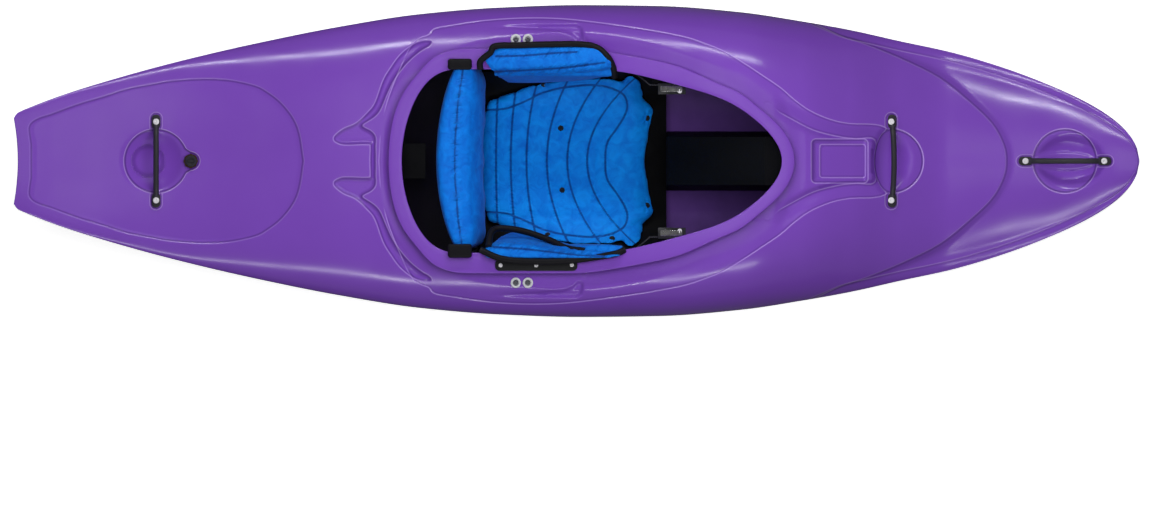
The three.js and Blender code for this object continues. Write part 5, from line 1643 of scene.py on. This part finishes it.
@dataclass
class GrabHandle:
    """A carrying handle: a rubber tube between two feet, each held by a screw."""

    where: str
    x: float
    along_boat: bool
    lines: HullLines
    bow: float = 0.0
    half_length: float = 101.0
    screw_at: float = 85.0
    tube_end: float = 75.0
    tube_radius: float = 6.0
    tube_lift: float = 4.5
    arch: float = 17.0
    foot_size: tuple = (31.0, 19.0, 7.0)
    rise: tuple = ((.13, 0), (.23, .62), (.5, 1), (.77, .62), (.87, 0))
    screw: tuple = ((6.8, 0), (6.8, 1.6), (5.9, 2.6), (2.2, 2.9), (1.9, 1.6))

    def spot(self, t: float) -> tuple[float, float]:
        """Gives the (x, y) in mm of a point t mm along the handle from its middle."""
        bend = self.bow * (1 - (t / self.half_length) ** 2)
        return (self.x + t, 0.0) if self.along_boat else (self.x + bend, t)

    def foot_z(self, t: float) -> float:
        """Gives the height in mm of the deck under the handle's line at t."""
        ends = (self.spot(-self.screw_at), self.spot(self.screw_at))
        aft, fore = (self.lines.deck_z(np.array([x]), np.array([y]))[0] for x, y in ends)
        return float(aft + (fore - aft) * (t + self.screw_at) / (2 * self.screw_at))

    def foot(self, number: int, t: float) -> Piece:
        """Makes one foot, set along the handle and sloped with the deck.

        Args:
            number: 1 or 2, for its name.
            t: its place along the handle, in mm.

        Returns:
            The foot.
        """
        (x, y), z = self.spot(t), self.foot_z(t)
        length, width, height = self.foot_size
        size = (length, width, height) if self.along_boat else (width, length, height)
        foot = rounded_block(
            f"{self.where}_handle_foot_{number}", (x, y, z + height / 2 - 0.3), size, width * 0.47, 1.6
        )
        if self.along_boat:
            slope = self.foot_z(1) - self.foot_z(0)
            for vertex in foot.data.vertices:
                vertex.co.z += slope * (vertex.co.x - x * MM)
        return foot

    def build(self) -> None:
        """Makes the tube, its two feet and their screws."""
        steps = np.linspace(-self.tube_end, self.tube_end, 41)
        lift = self.arch * curve_through(self.rise, (steps + self.half_length) / (2 * self.half_length))
        path = np.array([(*self.spot(t), self.foot_z(t) + self.tube_lift + up) for t, up in zip(steps, lift)])
        grip = tube(f"{self.where}_grab_handle_tube", path, self.tube_radius)
        joined(grip, *(self.foot(number, t) for number, t in ((1, self.screw_at), (2, -self.screw_at))))
        grip.name = f"{self.where}_grab_handle_grip"
        fitted(grip, RUBBER, "boat", "black_plastic", f"{self.where}_grab_handle")
        for number in (1, 2):
            node = f"{self.where}_handle_screw_{number}"
            head(node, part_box(node)[1][2] - 2.9 * MM, self.screw, 20, STEEL)


@dataclass
class RimHardware:
    """What is screwed to the deck beside the seat: a plate on the rim, and two washers with their bolts."""

    side: Side
    lines: HullLines
    plate_x: tuple = (-176.0, 2.0)
    plate_y: float = 224.8
    plate_width: float = 25.0
    plate_height: float = 4.0
    screw_xs: tuple = (-164.0, -87.0, -10.0)
    screw: tuple = ((4.6, 0), (4.6, 1.0), (3.9, 1.9), (1.3, 2.1), (1.1, 1.2))
    washer: tuple = ((11.5, 0), (11.5, 1.8), (10.2, 3.2), (7.6, 3.3), (6.9, 2.2))
    bolt: tuple = ((6.2, 0), (6.2, 1.8), (5.2, 3.6), (3.2, 4.4), (2.7, 2.8))

    def plate(self) -> Piece:
        """Makes the plate and lays it along the rim's rising top."""
        low, high = self.plate_x
        centre = ((low + high) / 2, self.side.value * self.plate_y, 0)
        size = (high - low, self.plate_width, self.plate_height)
        plate = rounded_block(f"rim_plate_cover_{self.side.word}", centre, size, 10, 1.2)
        with edit_mode(plate):
            for cut in np.linspace(low, high, 8)[1:-1]:
                bpy.ops.mesh.select_all(action="SELECT")
                bpy.ops.mesh.bisect(plane_co=(cut * MM, 0, 0), plane_no=(1, 0, 0))
        points = points_of(plate)
        points[:, 2] += (self.lines.rim_z(points[:, 0] / MM) + 2.6) * MM
        put_points(plate, points)
        return plate

    def build(self) -> None:
        """Makes the plate, its screws, the washers and the bolts."""
        word = self.side.word
        fitted(self.plate(), PLASTIC, "boat", "black_plastic", f"rim_plate_{word}")
        for number, x in enumerate(self.screw_xs, 1):
            top = float(self.lines.rim_z(np.array([x]))[0]) + 4.2
            head(f"rim_screw_{word}_{number}", top * MM, self.screw, 18, STEEL)
        for number in (1, 2):
            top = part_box(f"seat_washer_{word}_{number}")[1][2]
            head(f"seat_washer_{word}_{number}", top - 1.8 * MM, self.washer, 28, WASHER)
            head(f"seat_bolt_{word}_{number}", top - 0.2 * MM, self.bolt, 28, DARK_STEEL)


@dataclass
class Ratchet:
    """A strap ratchet: its black channel, the toothed steel cover, the lever on its pin, and its strap."""

    side: Side
    cover: tuple = (48.0, 13.0, 2.0)
    cover_at: tuple = (205.0, 156.0, 320.6)
    tooth: tuple = (2.6, 11.0, 2.2)
    teeth: int = 9
    pitch: float = 5.0

    def toothed_cover(self) -> Piece:
        """Makes the cover with its row of teeth."""
        x, y, z = self.cover_at
        word, sign = self.side.word, self.side.value
        plate = rounded_block(f"ratchet_cover_{word}", (x, sign * y, z), self.cover, 3, 0.5)
        tooth = rounded_block(f"ratchet_tooth_{word}", (x - 20, sign * y, z + 1.4), self.tooth, 0.6, 0.5)
        row = tooth.modifiers.new("row", "ARRAY")
        row.count = self.teeth
        row.use_relative_offset, row.use_constant_offset = False, True
        row.constant_offset_displace = (self.pitch * MM, 0, 0)
        return joined(plate, finished(tooth))

    def build(self) -> None:
        """Makes the channel with its cover, and dresses the lever, the pin and the strap."""
        word, sign = self.side.word, self.side.value
        base = copied(f"ratchet_base_{word}", f"ratchet_channel_{word}", 1.2)
        fitted(base, PLASTIC, "boat", "black_plastic", f"ratchet_base_{word}")
        fitted(self.toothed_cover(), SMEARED_STEEL, "boat", "steel")
        lever = copied(f"ratchet_lever_{word}", f"ratchet_lever_arm_{word}", 0.8)
        fitted(lever, SMEARED_STEEL, f"ratchet_{word}", "steel", f"ratchet_lever_{word}")
        STEEL.dress(frame["nodes"][f"ratchet_pin_{word}"])
        strap = copied(f"back_strap_{word}", f"back_strap_web_{word}", 0.5)
        WEBBING.dress(strap)
        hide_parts(f"back_strap_{word}")
        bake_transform(strap)


@dataclass
class DrainPlug:
    """The stern's drain plug: a lobed cap on a seal in a brass insert."""

    x: float
    cap: tuple = ((12.6, 0), (13, 0.8), (13, 4.4), (11.6, 6.0), (7.5, 6.2), (6.2, 4.6))
    grip: tuple = (13.0, 3.4, 4.2)
    lobes: int = 8

    def build(self) -> None:
        """Makes the lobed cap and dresses the seal and the insert."""
        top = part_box("drain_plug")[1][2]
        foot = Vector((self.x * MM, 0, top - 6.6 * MM))
        cap = turned("drain_plug_cap", foot, self.cap, 32)
        for vertex in cap.data.vertices:
            out = Vector((vertex.co.x - foot.x, vertex.co.y - foot.y))
            if out.length > 11 * MM:
                out *= 1 - 0.05 * (1 + math.cos(self.lobes * math.atan2(out.y, out.x)))
                vertex.co.x, vertex.co.y = foot.x + out.x, foot.y + out.y
        joined(cap, rounded_block("drain_plug_grip", (self.x, 0, top / MM - 1.4), self.grip, 1.5, 0.6))
        fitted(cap, RUBBER, "drain_stopper", "black_plastic", "drain_plug")
        SEAL.dress(frame["nodes"]["drain_gasket"])
        BRASS.dress(frame["nodes"]["drain_insert"])


@dataclass
class Interior:
    """The fixed outfitting inside the hull: seat pan, foam pillars, thigh braces and foot rests.

    Each row gives a node, or the start of a pair's two, its finish, its slot, the ease of its edges in mm and,
    for a single one, its body.
    """

    brace_drop: float = 5.0
    pillar_back: float = 20.0
    single: tuple = (
        ("seat_pan", PAN, "black_plastic", 1.5, "boat"), ("front_pillar", FOAM, "black_foam", 4.0, "boat"),
        ("rear_pillar", FOAM, "black_foam", 5.0, "boat"),
    )
    paired: tuple = (
        ("thigh_brace_", FOAM, "black_plastic", 3.0), ("foot_plate_", PLASTIC, "black_plastic", 1.5),
        ("foot_pad_", FOAM, "black_foam", 2.5),
    )

    def rows(self) -> list[tuple]:
        """Lists the pieces, with a port and a starboard row for each paired one."""
        rows = list(self.single)
        for node, *looks in self.paired:
            for side in Side:
                body = f"foot_rest_{side.word}" if node.startswith("foot") else "boat"
                rows.append((node + side.word, *looks, body))
        return rows

    def build(self) -> None:
        """Eases the plain solids' edges, fits them to the hull and dresses them."""
        for node, finish, slot, edge, body in self.rows():
            piece = copied(node, f"{node}_moulding", edge, 3)
            points = points_of(piece)
            if node.startswith("thigh"):
                points[:, 2] -= self.brace_drop * MM
            if node == "rear_pillar":
                front = points[:, 0] > points[:, 0].max() - 50 * MM
                points[:, 0] -= np.where(front, self.pillar_back * MM, 0)
            put_points(piece, points)
            fitted(piece, finish, body, slot, node)
        for node in ("foot_rail_port", "foot_rail_starboard", "ladder_strap_port", "ladder_strap_starboard"):
            PLASTIC.dress(frame["nodes"][node])
        for number in (1, 2):
            STEEL.dress(frame["nodes"][f"foot_rail_bolt_{number}"])


@dataclass
class Studio:
    """The photographer's white table, soft boxes and a camera straight above, in metres."""

    view_width: float = 2.48832
    view_centre: tuple = (-0.00108, -0.2041)
    view_height: float = 3.0
    boat_middle: tuple = (0, 0, 0.2)
    floor_size: float = 12.0

    def camera(self) -> None:
        """Sets up a camera without perspective that looks straight down, the bow to the right."""
        lens = bpy.data.cameras.new("camera")
        lens.type, lens.ortho_scale, lens.clip_end = "ORTHO", self.view_width, 50
        eye = linked("camera", lens)
        eye.location = (*self.view_centre, self.view_height)
        bpy.context.scene.camera = eye

    def soft_box(self, name: str, place: tuple, size: tuple, power: float, mirrored_in_gloss: bool = True) -> None:
        """Hangs a lit panel that faces the middle of the boat.

        Args:
            name: the lamp's name.
            place: where it hangs, in metres.
            size: its length along X and its height, in metres.
            power: its output in watts.
            mirrored_in_gloss: it shows as a highlight.
        """
        panel = bpy.data.lights.new(name, "AREA")
        panel.shape, panel.energy = "RECTANGLE", power
        panel.size, panel.size_y = size
        lamp = linked(name, panel)
        lamp.location = place
        lamp.visible_glossy = mirrored_in_gloss
        lamp.rotation_euler = (Vector(self.boat_middle) - Vector(place)).to_track_quat("-Z", "Y").to_euler()

    def lamps(self) -> None:
        """Hangs a long narrow soft box on each side, the port one brighter, and a broad panel overhead."""
        self.soft_box("port_soft_box", (0, 2.3, 2.3), (3.0, 0.07), 36)
        self.soft_box("starboard_soft_box", (0, -2.5, 2.3), (3.0, 0.06), 22)
        self.soft_box("overhead_panel", (0.15, 0.3, 3.0), (2.2, 1.4), 56, False)

    def world(self) -> None:
        """Gives the room a plain dim light, which the camera sees as white."""
        world = bpy.data.worlds.new("studio_room")
        world.use_nodes = True
        world.node_tree.nodes.clear()
        add = partial(add_node, world.node_tree)
        glossy, camera = (add("LightPath", output=f"Is {kind} Ray") for kind in ("Glossy", "Camera"))
        level = add("Math", (glossy, 0.08, 0.16), operation="MULTIPLY_ADD")
        level = add("Math", (camera, 0.84, level), operation="MULTIPLY_ADD")
        room = add("Background", {"Color": (1, 1, 1, 1), "Strength": level})
        add("OutputWorld", (room,))
        bpy.context.scene.world = world

    def floor(self) -> None:
        """Lays the white table top just below the boat, which keeps its shadow."""
        alone()
        bpy.ops.mesh.primitive_plane_add(size=self.floor_size, location=(0, 0, -0.5 * MM))
        table = bpy.context.active_object
        table.name = "studio_floor"
        bpy.ops.object.transform_apply(location=True, rotation=True, scale=True)
        PaperSweep().dress(table)

    def build(self) -> None:
        """Sets up the camera, the lamps, the room and the floor."""
        bpy.context.scene.view_settings.view_transform = "Standard"
        for part in (self.camera, self.lamps, self.world, self.floor):
            part()


def hip_pads() -> Iterator[tuple[str, HipPad]]:
    """Gives both hip pads with their pieces' names: the port one folded out over the rim, the other upright."""
    yield "hip_cover_port", HipPad(
        "hip_pad_port", "boat", side=Side.PORT,
        edge=(
            (-208, 198, 300), (-207, 216, 320), (-186, 234, 325), (-176, 248, 325), (-130, 250, 325),
            (-53, 252, 332), (12, 252, 338), (46, 244, 340), (68, 224, 338), (80, 200, 330), (82, 182, 315),
        ),
        seams=(
            ((-187, 191), (-120, 194), (-40, 199), (20, 206), (60, 212)),
            ((-174, 226), (-110, 228), (-50, 233), (0, 236)),
        ),
        inner=((-204, 165), (-120, 168), (-40, 171), (80, 178)),
    )
    yield "hip_cover_starboard", HipPad(
        "hip_pad_starboard", "boat", side=Side.STARBOARD, outer_from=206.0, outer_kept=(0.45, 0),
        edge=(
            (-208, 192, 330), (-161, 211, 320), (-90, 217, 320), (-18, 215, 325), (40, 208, 330),
            (84, 200, 340), (104, 192, 345),
        ),
        lining=(
            (-190, 184, 300), (-184, 154, 270), (-164, 145, 260), (-113, 152, 260), (-55, 172, 280),
            (-22, 188, 300), (18, 194, 320),
        ),
        seams=(((-180, 184), (-100, 190), (0, 202), (60, 206)),),
        inner=((-204, 147), (-113, 154), (-55, 168), (0, 186), (60, 196), (104, 200)),
    )


def main() -> None:
    """Builds the boat's sub-assemblies in order."""
    logging.basicConfig(level=logging.INFO, format="%(name)s: %(message)s")
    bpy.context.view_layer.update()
    Studio().build()
    lines = HullLines()
    moulding = DeckMoulding(lines)
    Hull(lines, moulding, Polyethylene()).build()
    SeatPad().build("seat_cover")
    BackBand().build("back_band_cover")
    for name, pad in hip_pads():
        pad.build(name)
    Interior().build()
    handles = zip(("stern", "middle", "bow"), moulding.handle_xs, (False, False, True), (0, 6, 0))
    for where, x, along, bow in handles:
        GrabHandle(where, x, along, lines, bow).build()
    for side in Side:
        RimHardware(side, lines).build()
        Ratchet(side).build()
    DrainPlug(moulding.drain_x).build()


if __name__ == "__main__":
    main()
